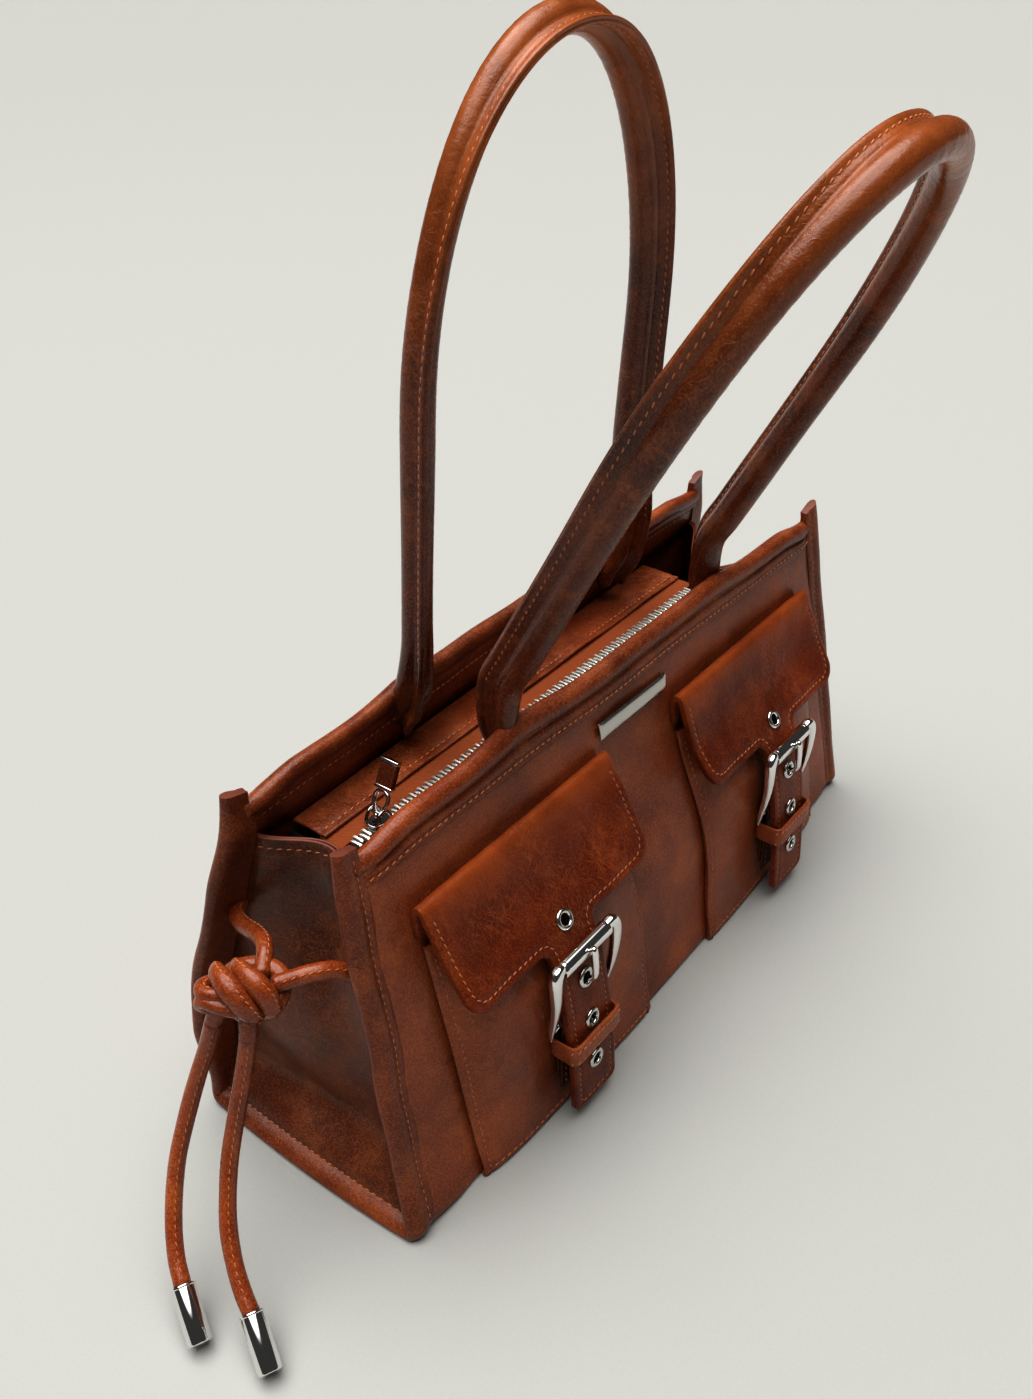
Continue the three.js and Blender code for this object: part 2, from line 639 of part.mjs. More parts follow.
// The prong turns on the heel bar, comes forward through the second eyelet and lies on the roller.
function buckleProng(centre) {
  const route = [[-59.6, 49.2], [-58.7, 52.5], [-58.1, 57], [-58.2, 61.2], [-60, 63.2], [-62.6, 63.7], [-65.4, 64.3],
    [-67.4, 66.8], [-67.6, 72], [-67.1, 79]];
  const rod = tube(route.map(([y, z]) => vec(centre, y, z)), 0.9, 8, 22);
  const eye = barAlongX(2.6, centre - 1.6, centre + 1.6, HEEL.y, HEEL.z);
  return cut(join(rod, eye), barAlongX(1.75, centre - 4, centre + 4, HEEL.y, HEEL.z));
}

// The back strap hangs behind the flap's strap. Its top folds round the heel bar.
function backStrap(centre) {
  const line = [[-59.3, 18], [-59.3, 38], [-58.2, 43.5], [-57.75, 47], [-58.4, 48.6], [-59.9, 49.2], [-61.4, 48.6],
    [-62.05, 47], [-61.7, 43], [-60.85, 38], [-60.85, 14]];
  const points = line.map(([y, z]) => new THREE.Vector2(y, z));
  const slot = box(vec(centre - 4.2, -70, 40.4), vec(centre + 4.2, -50, 56));
  return cut(strap(points, 1.1, () => STRAP_WIDTH / 2 - 0.8, centre), slot);
}

const KEEPER = { low: 32.5, high: 41.5, half: 13.2, back: -56.75, inner: -57.8, outer: -68.7, wall: 1.4 };

function keeper(centre) {
  const { low, high, half, back, inner, outer, wall } = KEEPER;
  const ring = box(vec(centre - half - wall, outer - wall, low), vec(centre + half + wall, back, high));
  const hole = box(vec(centre - half, outer, low - 1), vec(centre + half, inner, high + 1));
  return cut(ring, hole);
}

const SNAP_HEIGHT = 25.5;

function snapDisc(centre, radius, from, to) {
  const disc = new THREE.CylinderGeometry(radius, radius, to - from, 14);
  return disc.translate(centre, (from + to) / 2, SNAP_HEIGHT);
}

for (const [name, centre] of [['left', -POCKET_CENTRE], ['right', POCKET_CENTRE]]) {
  add(`${name}_pocket`, pocket(centre), COGNAC);
  const holes = EYELETS.map((share) => atLine(new THREE.CylinderGeometry(3, 3, 6, 14), centre, share));
  add(`${name}_flap`, cut(flapBody(centre), ...holes), COGNAC);
  EYELETS.forEach((share, i) => add(`${name}_eyelet_${i + 1}`, eyelet(centre, share), NICKEL));
  add(`${name}_buckle_frame`, buckleFrame(centre), CHROME);
  add(`${name}_buckle_roller`, buckleRoller(centre), CHROME);
  add(`${name}_buckle_prong`, buckleProng(centre), CHROME);
  add(`${name}_back_strap`, backStrap(centre), COGNAC);
  add(`${name}_keeper`, keeper(centre), COGNAC);
  add(`${name}_snap_cap`, snapDisc(centre, 4.5, -58.4, -57.75), NICKEL);
  add(`${name}_snap_socket`, snapDisc(centre, 5, -57.4, -56.75), NICKEL);
}

// ---- Tie at the left end --------------------------------------------------------------------------

const KNOT = { centre: vec(-173, -2, 102), radii: vec(10, 15, 10.5) };
const BACK_STRAND = [vec(-143.5, 23.5, 103), vec(-151, 21, 105.5), vec(-158, 17, 106.5), vec(-163.4, 12, 106)];
const FRONT_STRAND = [vec(-143.5, -23.2, 107), vec(-151, -22.8, 108.5), vec(-158, -19.5, 107.5), vec(-163.6, -15, 105.5)];
const TAIL_1 = [vec(-181.5, 4.6, 91.6), vec(-184, 7.5, 80.5), vec(-188, 9, 71.5), vec(-192.5, 10, 62), vec(-198, 10, 52),
  vec(-203.5, 9, 43), vec(-209, 6.6, 33.6), vec(-214.5, 2.6, 25), vec(-219.4, -2.8, 18), vec(-223, -9, 13.2)];
const TAIL_2 = [vec(-178, -7.4, 90.2), vec(-181, -7, 80), vec(-185, -7, 70), vec(-190, -7.5, 59.5), vec(-195.5, -9, 49.5),
  vec(-201, -12, 40), vec(-206.5, -16.5, 31), vec(-211, -22.5, 22.8), vec(-214.2, -29, 16.6), vec(-215.9, -33.9, 13.2)];

function metalTip(tail) {
  const top = tail.at(-1);
  const down = vec(-0.37, -0.78, -0.5).normalize();
  const turn = new THREE.Quaternion().setFromUnitVectors(vec(0, -1, 0), down);
  const tip = new THREE.CylinderGeometry(TIP_RADIUS, TIP_RADIUS, TIP_LENGTH, 14);
  const middle = top.clone().addScaledVector(down, 0.6 + TIP_LENGTH / 2);
  return tip.applyQuaternion(turn).translate(middle.x, middle.y, middle.z);
}

function knotBody() {
  const { centre, radii } = KNOT;
  const ball = new THREE.SphereGeometry(1, 14, 10).scale(radii.x, radii.y, radii.z);
  return ball.translate(centre.x, centre.y, centre.z);
}

add('left_tie_back_strand', tube(BACK_STRAND, CORD_RADIUS, 8, 6), COGNAC);
add('left_tie_front_strand', tube(FRONT_STRAND, CORD_RADIUS, 8, 6), COGNAC);
add('left_tie_knot', knotBody(), COGNAC);
for (const [name, tail] of [['1', TAIL_1], ['2', TAIL_2]]) {
  add(`left_tie_tail_${name}`, tube(tail, CORD_RADIUS, 8, 14), COGNAC);
  add(`left_tie_tip_${name}`, metalTip(tail), CHROME);
}

export default bag;
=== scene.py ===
"""A leather shoulder bag in soft studio light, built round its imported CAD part.

Shapes are worked out in millimetres in the part's own frame: +X runs along the bag, -Y is the
pocket side and +Z is up. make() turns them into metres.
"""

import math

import bmesh
import bpy
import numpy as np
from mathutils import Matrix, Vector


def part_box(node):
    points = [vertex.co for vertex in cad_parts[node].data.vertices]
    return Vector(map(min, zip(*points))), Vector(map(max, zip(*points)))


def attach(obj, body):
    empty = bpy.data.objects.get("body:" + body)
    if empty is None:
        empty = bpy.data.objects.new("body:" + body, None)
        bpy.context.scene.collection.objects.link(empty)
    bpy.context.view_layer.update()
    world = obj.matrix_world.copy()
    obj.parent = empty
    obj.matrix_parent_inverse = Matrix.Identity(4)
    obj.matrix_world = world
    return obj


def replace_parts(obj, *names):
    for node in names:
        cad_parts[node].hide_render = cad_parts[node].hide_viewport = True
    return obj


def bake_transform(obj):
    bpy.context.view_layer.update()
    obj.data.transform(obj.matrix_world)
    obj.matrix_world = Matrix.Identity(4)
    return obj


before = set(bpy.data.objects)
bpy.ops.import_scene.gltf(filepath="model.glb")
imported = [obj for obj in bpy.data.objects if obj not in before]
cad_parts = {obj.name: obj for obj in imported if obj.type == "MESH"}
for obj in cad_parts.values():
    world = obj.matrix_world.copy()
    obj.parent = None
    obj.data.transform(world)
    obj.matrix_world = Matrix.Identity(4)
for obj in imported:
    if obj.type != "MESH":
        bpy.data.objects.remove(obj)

MM = 0.001
scene = bpy.context.scene
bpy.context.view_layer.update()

# ---- The body's driving dimensions, read off the CAD where a box gives them ---------------------


def corner(node, end, axis):
    """One coordinate of a CAD node's box, in millimetres. end is 0 for low and 1 for high."""
    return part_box(node)[end][axis] / MM


LENGTH_BOTTOM = corner("right_end_seam", 1, 0) - corner("left_end_seam", 0, 0)
HEIGHT = corner("left_end_seam", 1, 2)
LENGTH_TOP = 297.0  # a little longer than the CAD's top
DEPTH_BOTTOM = 104.0
DEPTH_TOP_LEFT, DEPTH_TOP_RIGHT = 48.0, 60.5
BULGE, BULGE_HEIGHT, BULGE_REACH = 8.2, 50.0, 55.0
BULGE_HALF, BULGE_FADE = 40.0, 110.0  # full out to here along x, then fading over this length
RIM_WIDTH = 10.0
RIM_CORNER = 5.5
ZIP_LEFT, ZIP_RIGHT = corner("front_zip_tape", 0, 0), corner("front_zip_tape", 1, 0)
ZIP_HEIGHT = corner("front_zip_strip", 1, 2)
GUSSET_TOP = corner("left_gusset", 1, 2)
FOLD_LEFT, FOLD_RIGHT = 9.0, 35.0
POCKET_CENTRE = 75.0
POCKET_HALF = 51.0
FLAP_HALF = 52.0
STRAP_HALF = 12.5
HINGE_HEIGHT = 157.0
HANDLE_OFFSET = 16.0
HANDLE_HALF = 65.0
HANDLE_ARCH = 104.0
HANDLE_RADIUS = 5.5
CORD_RADIUS = 2.9
SIDES = ((-1, "front"), (1, "back"))
ENDS = ((-1, "left"), (1, "right"))


# ---- Arithmetic ---------------------------------------------------------------------------------


def lerp(a, b, t):
    return a + (b - a) * t


def smooth(value, low=0.0, high=1.0):
    t = np.clip((np.asarray(value, float) - low) / (high - low), 0, 1)
    return t * t * (3 - 2 * t)


def unit(vectors):
    vectors = np.asarray(vectors, float)
    return vectors / np.linalg.norm(vectors, axis=-1, keepdims=True)


def vec(x, y, z):
    return np.stack(np.broadcast_arrays(x, y, z), axis=-1).astype(float)


def bump(distance, width):
    """1 on a line and 0 a few widths away from it."""
    return np.exp(-((np.asarray(distance) / width) ** 2))


def mirrored(half):
    """A course followed by its own mirror image, with the first coordinate's sign turned."""
    return [*half, *[(-x, *rest) for x, *rest in reversed(half)]]


def squared(count, power):
    """A circle's points drawn out towards the corners of a square, as two arrays."""
    turn = np.linspace(0, 2 * math.pi, count, endpoint=False)
    return [np.sign(part) * np.abs(part) ** power for part in (np.cos(turn), np.sin(turn))]


def ripple(points, size, amount, seed):
    """Soft random dents about `size` millimetres across."""
    chance = np.random.default_rng(seed)
    total = 0.0
    for _ in range(8):
        direction = unit(chance.normal(size=3))
        wave = 2 * math.pi / (size * chance.uniform(0.7, 1.7))
        total = total + np.sin(points @ direction * wave + chance.uniform(0, 2 * math.pi))
    return amount * total / math.sqrt(8)


def spline(points, count):
    """`count` evenly spaced points on a smooth curve through the given ones."""
    p = np.asarray(points, float)
    p = np.vstack([2 * p[0] - p[1], p, 2 * p[-1] - p[-2]])
    t = np.linspace(0, 1, 17)[:-1, None]
    parts = []
    for a, b, c, d in zip(p, p[1:], p[2:], p[3:]):
        parts.append(
            0.5 * (2 * b + (c - a) * t + (2 * a - 5 * b + 4 * c - d) * t**2
                   + (3 * b - a - 3 * c + d) * t**3)
        )
    fine = np.vstack([*parts, p[-2:-1]])
    return resample(fine, count)


def resample(fine, count):
    travelled = np.concatenate([[0], np.cumsum(np.linalg.norm(np.diff(fine, axis=0), axis=1))])
    wanted = np.linspace(0, travelled[-1], count)
    columns = [np.interp(wanted, travelled, fine[:, k]) for k in range(fine.shape[1])]
    return np.stack(columns, axis=1)


def path_length(path):
    return float(np.linalg.norm(np.diff(path, axis=0), axis=1).sum())


# ---- The body's surface -------------------------------------------------------------------------


def half_length(z):
    return lerp(LENGTH_BOTTOM, LENGTH_TOP, np.asarray(z) / HEIGHT) / 2


def panel_end(z):
    return half_length(z) - RIM_WIDTH - 0.3


def bulge(x, z):
    above = np.clip((z - BULGE_HEIGHT) / BULGE_REACH, 0, 1)
    below = np.clip((BULGE_HEIGHT - z) / BULGE_HEIGHT, 0, 1)
    upper = 0.5 + 0.5 * np.cos(math.pi * above)
    lower = 0.75 + 0.25 * np.cos(math.pi * below)
    outwards = np.clip((np.abs(x) - BULGE_HALF) / BULGE_FADE, 0, 1)
    return BULGE * np.where(above > 0, upper, lower) * (0.5 + 0.5 * np.cos(math.pi * outwards))


def half_depth(x, z):
    x, z = np.asarray(x, float), np.asarray(z, float)
    top = lerp(DEPTH_TOP_LEFT, DEPTH_TOP_RIGHT, x / LENGTH_BOTTOM + 0.5)
    return lerp(DEPTH_BOTTOM, top, z / HEIGHT) / 2 + bulge(x, z)


def tuck(x, z):
    """How far the leather turns in under the bottom edge, with a larger turn at the ends."""
    turn = lerp(2.6, RIM_CORNER, smooth(np.abs(x), 136, 149))
    return turn - np.sqrt(np.maximum(turn**2 - np.maximum(turn - z, 0) ** 2, 0))


def on_panel(side, x, z, out=0.0):
    """A point `out` beyond the front (side -1) or back (side 1) panel, with the panel's own dents."""
    place = vec(x, side * half_depth(x, z), z)
    dents = ripple(place, 70, 0.5, 11 + side) + ripple(place, 26, 0.12, 21 + side)
    place[..., 1] += side * (dents * smooth(z, 0, 45) * smooth(z, 150, 120) + out - tuck(x, z))
    return place


def settle(points):
    """The soft body's own weight: the left end sags, bows out behind and spreads near the floor."""
    x, y, z = np.moveaxis(np.array(points, float), -1, 0)
    left = smooth(-x, 105, 150)
    behind, before = smooth(y, 0, 30), smooth(-y, 30, 45)
    low = bump(z, 16)
    bow = 9.5 * bump(z - 58, 46) * smooth(z, 0, 22) + 2.6 * smooth(z, 95, 150)
    spread = 2.0 * bump(x + 60, 105) + 2.4 * smooth(-x, 120, 156)
    y = y + left * behind * bow - before * low * spread
    x = x - smooth(-x, 140, 158) * low * (4.2 - 2.2 * np.clip(y / 56, -1, 1) ** 2)
    z = z - 2.5 * left * smooth(z, 70, 145)
    return vec(x, y, z)


# ---- Building meshes ----------------------------------------------------------------------------


def make(name, points, faces, material, body="bag", sharp=None, slot="leather"):
    """A closed mesh from millimetre points, riding on a body, or loose if body is None."""
    points = np.asarray(points, float).reshape(-1, 3)
    if body == "bag" and not name.startswith("tie_"):
        points = settle(points)
    data = bpy.data.meshes.new(name)
    data.from_pydata((points * MM).tolist(), [], faces)
    data.materials.append(material)
    work = bmesh.new()
    work.from_mesh(data)
    bmesh.ops.recalc_face_normals(work, faces=work.faces)
    work.to_mesh(data)
    work.free()
    data.shade_smooth()
    if sharp is not None:
        data.set_sharp_from_angle(angle=math.radians(sharp))
    obj = bpy.data.objects.new(name, data)
    scene.collection.objects.link(obj)
    if body:
        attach(obj, body)
    return obj


def grid_faces(nu, nv, wrap=False):
    """Quads of an nu by nv grid of points. wrap joins the last column of v to the first."""
    span = nv if wrap else nv - 1
    faces = []
    for i in range(nu - 1):
        for j in range(span):
            k = (j + 1) % nv
            faces.append((i * nv + j, (i + 1) * nv + j, (i + 1) * nv + k, i * nv + k))
    return faces


def grid_normals(points, towards):
    along_u, along_v = np.gradient(points, axis=0), np.gradient(points, axis=1)
    normals = unit(np.cross(along_u, along_v))
    if (normals @ np.asarray(towards, float)).mean() < 0:
        normals = -normals
    return normals


def thicken(points, faces, normals, thickness):
    """Closes an open sheet by adding its other face and a strip round every free edge."""
    points = points.reshape(-1, 3)
    inner = points - normals.reshape(-1, 3) * np.reshape(thickness, (-1, 1))
    free = {}
    for face in faces:
        for a, b in zip(face, face[1:] + face[:1]):
            if free.pop((b, a), None) is None:
                free[(a, b)] = True
    count = len(points)
    back = [tuple(i + count for i in reversed(face)) for face in faces]
    sides = [(b, a, a + count, b + count) for a, b in free]
    return np.vstack([points, inner]), faces + back + sides


def round_edges(obj, width, segments=2):
    bevel = obj.modifiers.new("edge", "BEVEL")
    bevel.width = width * MM
    bevel.segments = segments
    bevel.limit_method = "ANGLE"
    bevel.angle_limit = math.radians(55)
    return obj


def shell(name, points, thickness, towards, material, edge=0.45, cut=None, **more):
    """A sheet of leather or cloth from its outer grid of points. cut is the look of its free edges."""
    faces = grid_faces(*points.shape[:2])
    obj = make(name, *thicken(points, faces, grid_normals(points, towards), thickness), material, **more)
    if cut is not None:
        obj.data.materials.append(cut)
        for polygon in list(obj.data.polygons)[2 * len(faces):]:
            polygon.material_index = 1
    return round_edges(obj, edge)


def rings(name, points, material, closed=False, **more):
    """A body from rings of points, with its ends capped unless the rings close on themselves."""
    count, around = points.shape[:2]
    faces = grid_faces(count, around, wrap=True)
    if closed:
        last = (count - 1) * around
        for j in range(around):
            k = (j + 1) % around
            faces.append((last + j, j, k, last + k))
    else:
        faces.append(tuple(range(around)))
        faces.append(tuple(reversed(range((count - 1) * around, count * around))))
    return make(name, points, faces, material, **more)


def frames(path, start=(0, 0, 1), closed=False):
    """Two unit vectors across the path at each of its points, turning as little as they can."""
    along = unit(np.gradient(path, axis=0))
    if closed:
        along = unit(np.roll(path, -1, axis=0) - np.roll(path, 1, axis=0))
    side = np.asarray(start, float)
    sides = []
    for direction in along:
        side = unit(side - direction * (side @ direction))
        sides.append(side)
    sides = np.array(sides)
    return sides, np.cross(along, sides)


def circle(sides):
    angle = np.arange(sides) * 2 * math.pi / sides
    return np.stack([np.cos(angle), np.sin(angle)], axis=1)


def sweep(path, across, up, section):
    """Rings of a section, (m, 2) or one per station (n, m, 2), along a path."""
    section = np.broadcast_to(section, (len(path), *np.shape(section)[-2:]))
    return path[:, None] + section[..., :1] * across[:, None] + section[..., 1:] * up[:, None]


def tube(name, path, radius, material, sides=20, start=(0, 0, 1), **more):
    across, up = frames(path, start)
    scale = np.broadcast_to(radius, len(path))[:, None, None]
    return rings(name, sweep(path, across, up, circle(sides) * scale), material, **more)


def turn_profile(profile, centre, axis, sides):
    """A profile of (radius, height) pairs at each of `sides` angles round an axis."""
    axis = unit(axis)
    side = unit(np.cross(axis, (0.3, 1, 0.2)))
    around = circle(sides)
    spokes = around[:, :1] * side + around[:, 1:] * np.cross(axis, side)
    profile = np.asarray(profile, float)
    return np.asarray(centre) + profile[None, :, :1] * spokes[:, None] + profile[None, :, 1:] * axis


def lathe(name, profile, material, centre, axis, sides=36, **more):
    """A turned piece whose profile closes on itself, with a hole along its axis."""
    return rings(name, turn_profile(profile, centre, axis, sides), material, closed=True, **more)


def turned(name, profile, material, centre, axis, sides=36, **more):
    """A turned piece whose profile starts and ends on its axis."""
    points = np.swapaxes(turn_profile(profile, centre, axis, sides), 0, 1)
    return rings(name, points, material, **more)


def block(name, low, high, material, edge=0.3, **more):
    """A box with rounded edges between two corners."""
    (x0, y0, z0), (x1, y1, z1) = low, high
    points = [(x, y, z) for x in (x0, x1) for y in (y0, y1) for z in (z0, z1)]
    faces = [(0, 1, 3, 2), (4, 6, 7, 5), (0, 4, 5, 1), (2, 3, 7, 6), (0, 2, 6, 4), (1, 5, 7, 3)]
    obj = make(name, points, faces, material, sharp=40, **more)
    return round_edges(obj, edge, 3)


def stitches(name, path, normals, body="bag", pitch=3.0, length=1.8, width=0.6):
    """A row of separate stitches along a path that lies on a surface with those normals."""
    path, normals = np.asarray(path, float), np.broadcast_to(normals, np.shape(path))
    count = max(int(path_length(path) / pitch), 2)
    both = resample(np.hstack([path, normals]), 2 * count + 1)
    middle, up = both[1::2, :3], unit(both[1::2, 3:])
    along = both[2::2, :3] - both[:-2:2, :3]
    along = unit(along - up * (along * up).sum(1, keepdims=True))
    across = np.cross(up, along)
    along = unit(along + 0.22 * across)
    across = np.cross(up, along)
    bead = [(-1, 0.25), (-0.8, 0.8), (-0.3, 1), (0.3, 1), (0.8, 0.8), (1, 0.25)]
    ring = circle(6)
    template = np.array([(s * length / 2, r * a * width / 2, r * b * width * 0.4)
                         for s, r in bead for a, b in ring])
    points = ((middle + 0.06 * up)[:, None] + template[None, :, :1] * along[:, None]
              + template[None, :, 1:2] * across[:, None] + template[None, :, 2:] * up[:, None])
    base = grid_faces(6, 6, wrap=True) + [tuple(range(6)), tuple(reversed(range(30, 36)))]
    faces = [tuple(i + 36 * k for i in face) for k in range(count) for face in base]
    return make(name, points, faces, THREAD, body=body)


# ---- Materials ----------------------------------------------------------------------------------


class Shader:
    """A Principled material whose maps are built from procedural nodes."""

    def __init__(self, name, **values):
        self.material = bpy.data.materials.new(name)
        self.material.use_nodes = True
        self.tree = self.material.node_tree
        self.principled = self.tree.nodes["Principled BSDF"]
        self.feed_named(self.principled, values)
        self.place = self.node("ShaderNodeTexCoord").outputs["Object"]

    def node(self, kind, **links):
        return self.feed_named(self.tree.nodes.new(kind), links)

    def feed_named(self, node, values):
        for key, value in values.items():
            self.feed(node.inputs[key.replace("_", " ")], value)
        return node

    def feed(self, socket, value):
        if isinstance(value, bpy.types.NodeSocket):
            self.tree.links.new(value, socket)
        else:
            socket.default_value = value

    def noise(self, scale, detail=3.0, roughness=0.55, place=None):
        made = self.node("ShaderNodeTexNoise", Vector=place or self.place, Scale=scale,
                         Detail=detail, Roughness=roughness)
        return made.outputs["Fac"]

    def stretched(self, place, turn, sizes):
        """Coordinates turned and then drawn out, so that a noise makes streaks of those sizes."""
        made = self.node("ShaderNodeMapping", Vector=place)
        made.vector_type = "TEXTURE"
        made.inputs["Rotation"].default_value = turn
        made.inputs["Scale"].default_value = sizes
        return made.outputs["Vector"]

    def bent(self, scale, reach):
        """Coordinates pushed about by a noise, so that lines drawn on them wander."""
        wobble = self.node("ShaderNodeTexNoise", Vector=self.place, Scale=scale, Detail=2.0)
        made = self.node("ShaderNodeVectorMath")
        made.operation = "MULTIPLY_ADD"
        self.feed(made.inputs[0], wobble.outputs["Color"])
        self.feed(made.inputs[1], (reach, reach, reach))
        self.feed(made.inputs[2], self.place)
        return made.outputs[0]

    def span(self, value, low, high, to_low=0.0, to_high=1.0):
        made = self.tree.nodes.new("ShaderNodeMapRange")
        for index, item in enumerate((value, low, high, to_low, to_high)):
            self.feed(made.inputs[index], item)
        return made.outputs[0]

    def mix(self, share, a, b):
        made = self.tree.nodes.new("ShaderNodeMix")
        made.data_type = "RGBA"
        for socket, value in ((made.inputs[0], share), (made.inputs[6], a), (made.inputs[7], b)):
            self.feed(socket, value)
        return made.outputs[2]

    def math(self, operation, a, b=0.0):
        made = self.tree.nodes.new("ShaderNodeMath")
        made.operation = operation
        self.feed(made.inputs[0], a)
        self.feed(made.inputs[1], b)
        return made.outputs[0]

    def times(self, a, b):
        return self.math("MULTIPLY", a, b)

    def bumped(self, *layers):
        """Bump from (height, depth in metres) layers."""
        normal = None
        for height, depth in layers:
            made = self.node("ShaderNodeBump", Height=height, Distance=depth, Strength=1.0)
            if normal is not None:
                self.feed(made.inputs["Normal"], normal)
            normal = made.outputs["Normal"]
        self.feed(self.principled.inputs["Normal"], normal)

    def set(self, **links):
        self.feed_named(self.principled, links)
        return self.material


def rgb(red, green, blue):
    return (red, green, blue, 1.0)


FIBRE_TURNS = ((0.4, 0.9, 0.2), (-0.7, 0.5, 1.3), (1.2, -0.4, 2.2), (0.1, -1.1, 0.7), (2.0, 0.3, -0.8))
FIBRE_SIZE = (0.0055, 0.0055, 0.0004)


def leather(name, dark, middle, light, rough=0.34, scratched=1.0, shine=0.28, gloss=0.03, pulled_and_highlit=None):
    """Waxed pull-up leather: cloudy colour, fine grain, short pale scratches and hairline cracks.

    pulled_and_highlit is the span of heights, in metres, over which it turns paler. On a flap this is partly
    the leather's own pull-up where the fold bends it tighter and partly a painted highlight on the fold that
    faces the light. On a handle it is a painted highlight on the top of the arch.
    """
    s = Shader(name, Specular_IOR_Level=shine, Coat_Weight=gloss, Coat_Roughness=0.16)
    cloud = s.noise(17.0, 4.0)
    patch = s.noise(60.0, 5.0, 0.6)
    grain = s.noise(1500.0, 3.0, 0.7)
    worn = s.span(s.noise(38.0, 3.0), 0.42, 0.64)
    colour = s.mix(s.span(cloud, 0.36, 0.66), dark, middle)
    colour = s.mix(s.times(s.span(patch, 0.46, 0.78), 0.4), colour, light)
    colour = s.mix(s.times(s.span(grain, 0.5, 0.68), 0.36), colour, light)
    colour = s.mix(s.times(s.span(grain, 0.5, 0.34), 0.7), colour, dark)
    if pulled_and_highlit is not None:
        # Painted highlight: paler towards the top of the given heights (on a flap's fold partly real
        # pull-up).
        height = s.node("ShaderNodeSeparateXYZ", Vector=s.place).outputs["Z"]
        share = s.times(s.span(height, *pulled_and_highlit), s.span(patch, 0.2, 0.75, 0.3, 1.0))
        colour = s.mix(share, colour, light)
    wandering = s.bent(160.0, 0.004)
    fibres = 0.0
    for turn in FIBRE_TURNS:
        place = s.stretched(wandering, turn, FIBRE_SIZE)
        fibres = s.math("MAXIMUM", s.span(s.noise(1.0, 0.0, 0.5, place), 0.685, 0.75), fibres)
    fibres = s.times(fibres, worn)
    cells = s.node("ShaderNodeTexVoronoi", Vector=s.bent(240.0, 0.008), Scale=170.0)
    cells.feature = "DISTANCE_TO_EDGE"
    crack = s.times(s.span(cells.outputs["Distance"], 0.035, 0.0), worn)
    marks = s.math("MAXIMUM", s.times(crack, 0.45), fibres)
    colour = s.mix(s.times(marks, 0.22 * scratched), colour, light)
    pebble = s.node("ShaderNodeTexVoronoi", Vector=s.place, Scale=1500.0).outputs["Distance"]
    s.bumped((pebble, 0.00003), (patch, 0.0004), (s.noise(420.0, 3.0), 0.00017), (marks, -0.00008))
    roughness = s.span(patch, 0.3, 0.7, rough - 0.05, rough + 0.1)
    return s.set(Base_Color=colour, Roughness=roughness)


def metal(name, colour, rough):
    s = Shader(name, Metallic=1.0)
    smudge = s.span(s.noise(180.0, 3.0), 0.35, 0.7, rough, rough + 0.06)
    s.bumped((s.noise(90.0, 2.0), 0.00002))
    return s.set(Base_Color=colour, Roughness=smudge)


def cloth(name, colour, pale, scale, rough=0.85):
    """A twill: fine diagonal ribs with a little colour between the threads."""
    s = Shader(name, Roughness=rough, Specular_IOR_Level=0.2)
    ribs = s.node("ShaderNodeTexWave", Vector=s.stretched(s.place, (0.0, 0.0, 0.7), (1, 1, 1)), Scale=scale,
                  Distortion=0.6, Detail=1.0)
    s.bumped((ribs.outputs["Fac"], 0.00015), (s.noise(1500.0), 0.0001))
    return s.set(Base_Color=s.mix(s.times(ribs.outputs["Fac"], 0.5), colour, pale))


def paint(name, colour, rough):
    s = Shader(name, Roughness=rough)
    s.bumped((s.noise(700.0), 0.00008))
    return s.set(Base_Color=s.mix(s.noise(160.0), colour, rgb(*[c * 0.7 for c in colour[:3]])))


DARK = rgb(0.135, 0.0265, 0.0095)
MIDDLE = rgb(0.315, 0.0680, 0.0205)
LIGHT = rgb(0.600, 0.1800, 0.0500)
LEATHER = leather("body_leather", DARK, MIDDLE, LIGHT)
RIM_LEATHER = leather("rim_leather", rgb(0.084, 0.0150, 0.0048), rgb(0.190, 0.0350, 0.0090),
                      rgb(0.560, 0.1600, 0.0420), 0.3)
# A darker copy of the body leather for the ends: painted shade, since the ends face away from the light and
# get only the floor's bounce.
SHADED_GUSSET_LEATHER = leather("gusset_leather", rgb(0.046, 0.0100, 0.0040), rgb(0.100, 0.0215, 0.0072),
                         rgb(0.420, 0.1200, 0.0300))
# The flap leather's last pair is the span painted paler at the fold: a painted highlight, partly real
# pull-up.
TOP_LEATHER = leather("flap_leather", rgb(0.080, 0.0098, 0.0024), rgb(0.170, 0.0235, 0.0042),
                      rgb(0.430, 0.0980, 0.0190), 0.34, 2.1, 0.15, 0.02, (0.107, 0.124))
# The handle leather's last pair is the span painted paler at the arch's top: a painted highlight.
HANDLE_LEATHER = leather("handle_leather", rgb(0.040, 0.0070, 0.0024), rgb(0.108, 0.0185, 0.0044),
                         rgb(0.400, 0.1120, 0.0260), 0.22, 1.2, 0.32, 0.1, (0.266, 0.350))
INNER_LEATHER = leather("inner_leather", rgb(0.032, 0.0065, 0.0024), rgb(0.082, 0.0165, 0.0045),
                        rgb(0.240, 0.0600, 0.0150), 0.4, 0.5, 0.15)
CORD_LEATHER = leather("cord_leather", rgb(0.130, 0.0210, 0.0048), rgb(0.270, 0.0480, 0.0095),
                       rgb(0.560, 0.1600, 0.0350), 0.24, 1.2, 0.35, 0.16)
EDGE = paint("cut_edge", rgb(0.16, 0.034, 0.014), 0.55)
THREAD = paint("thread", rgb(0.56, 0.19, 0.07), 0.6)
CHROME = metal("chrome", rgb(0.80, 0.79, 0.77), 0.04)
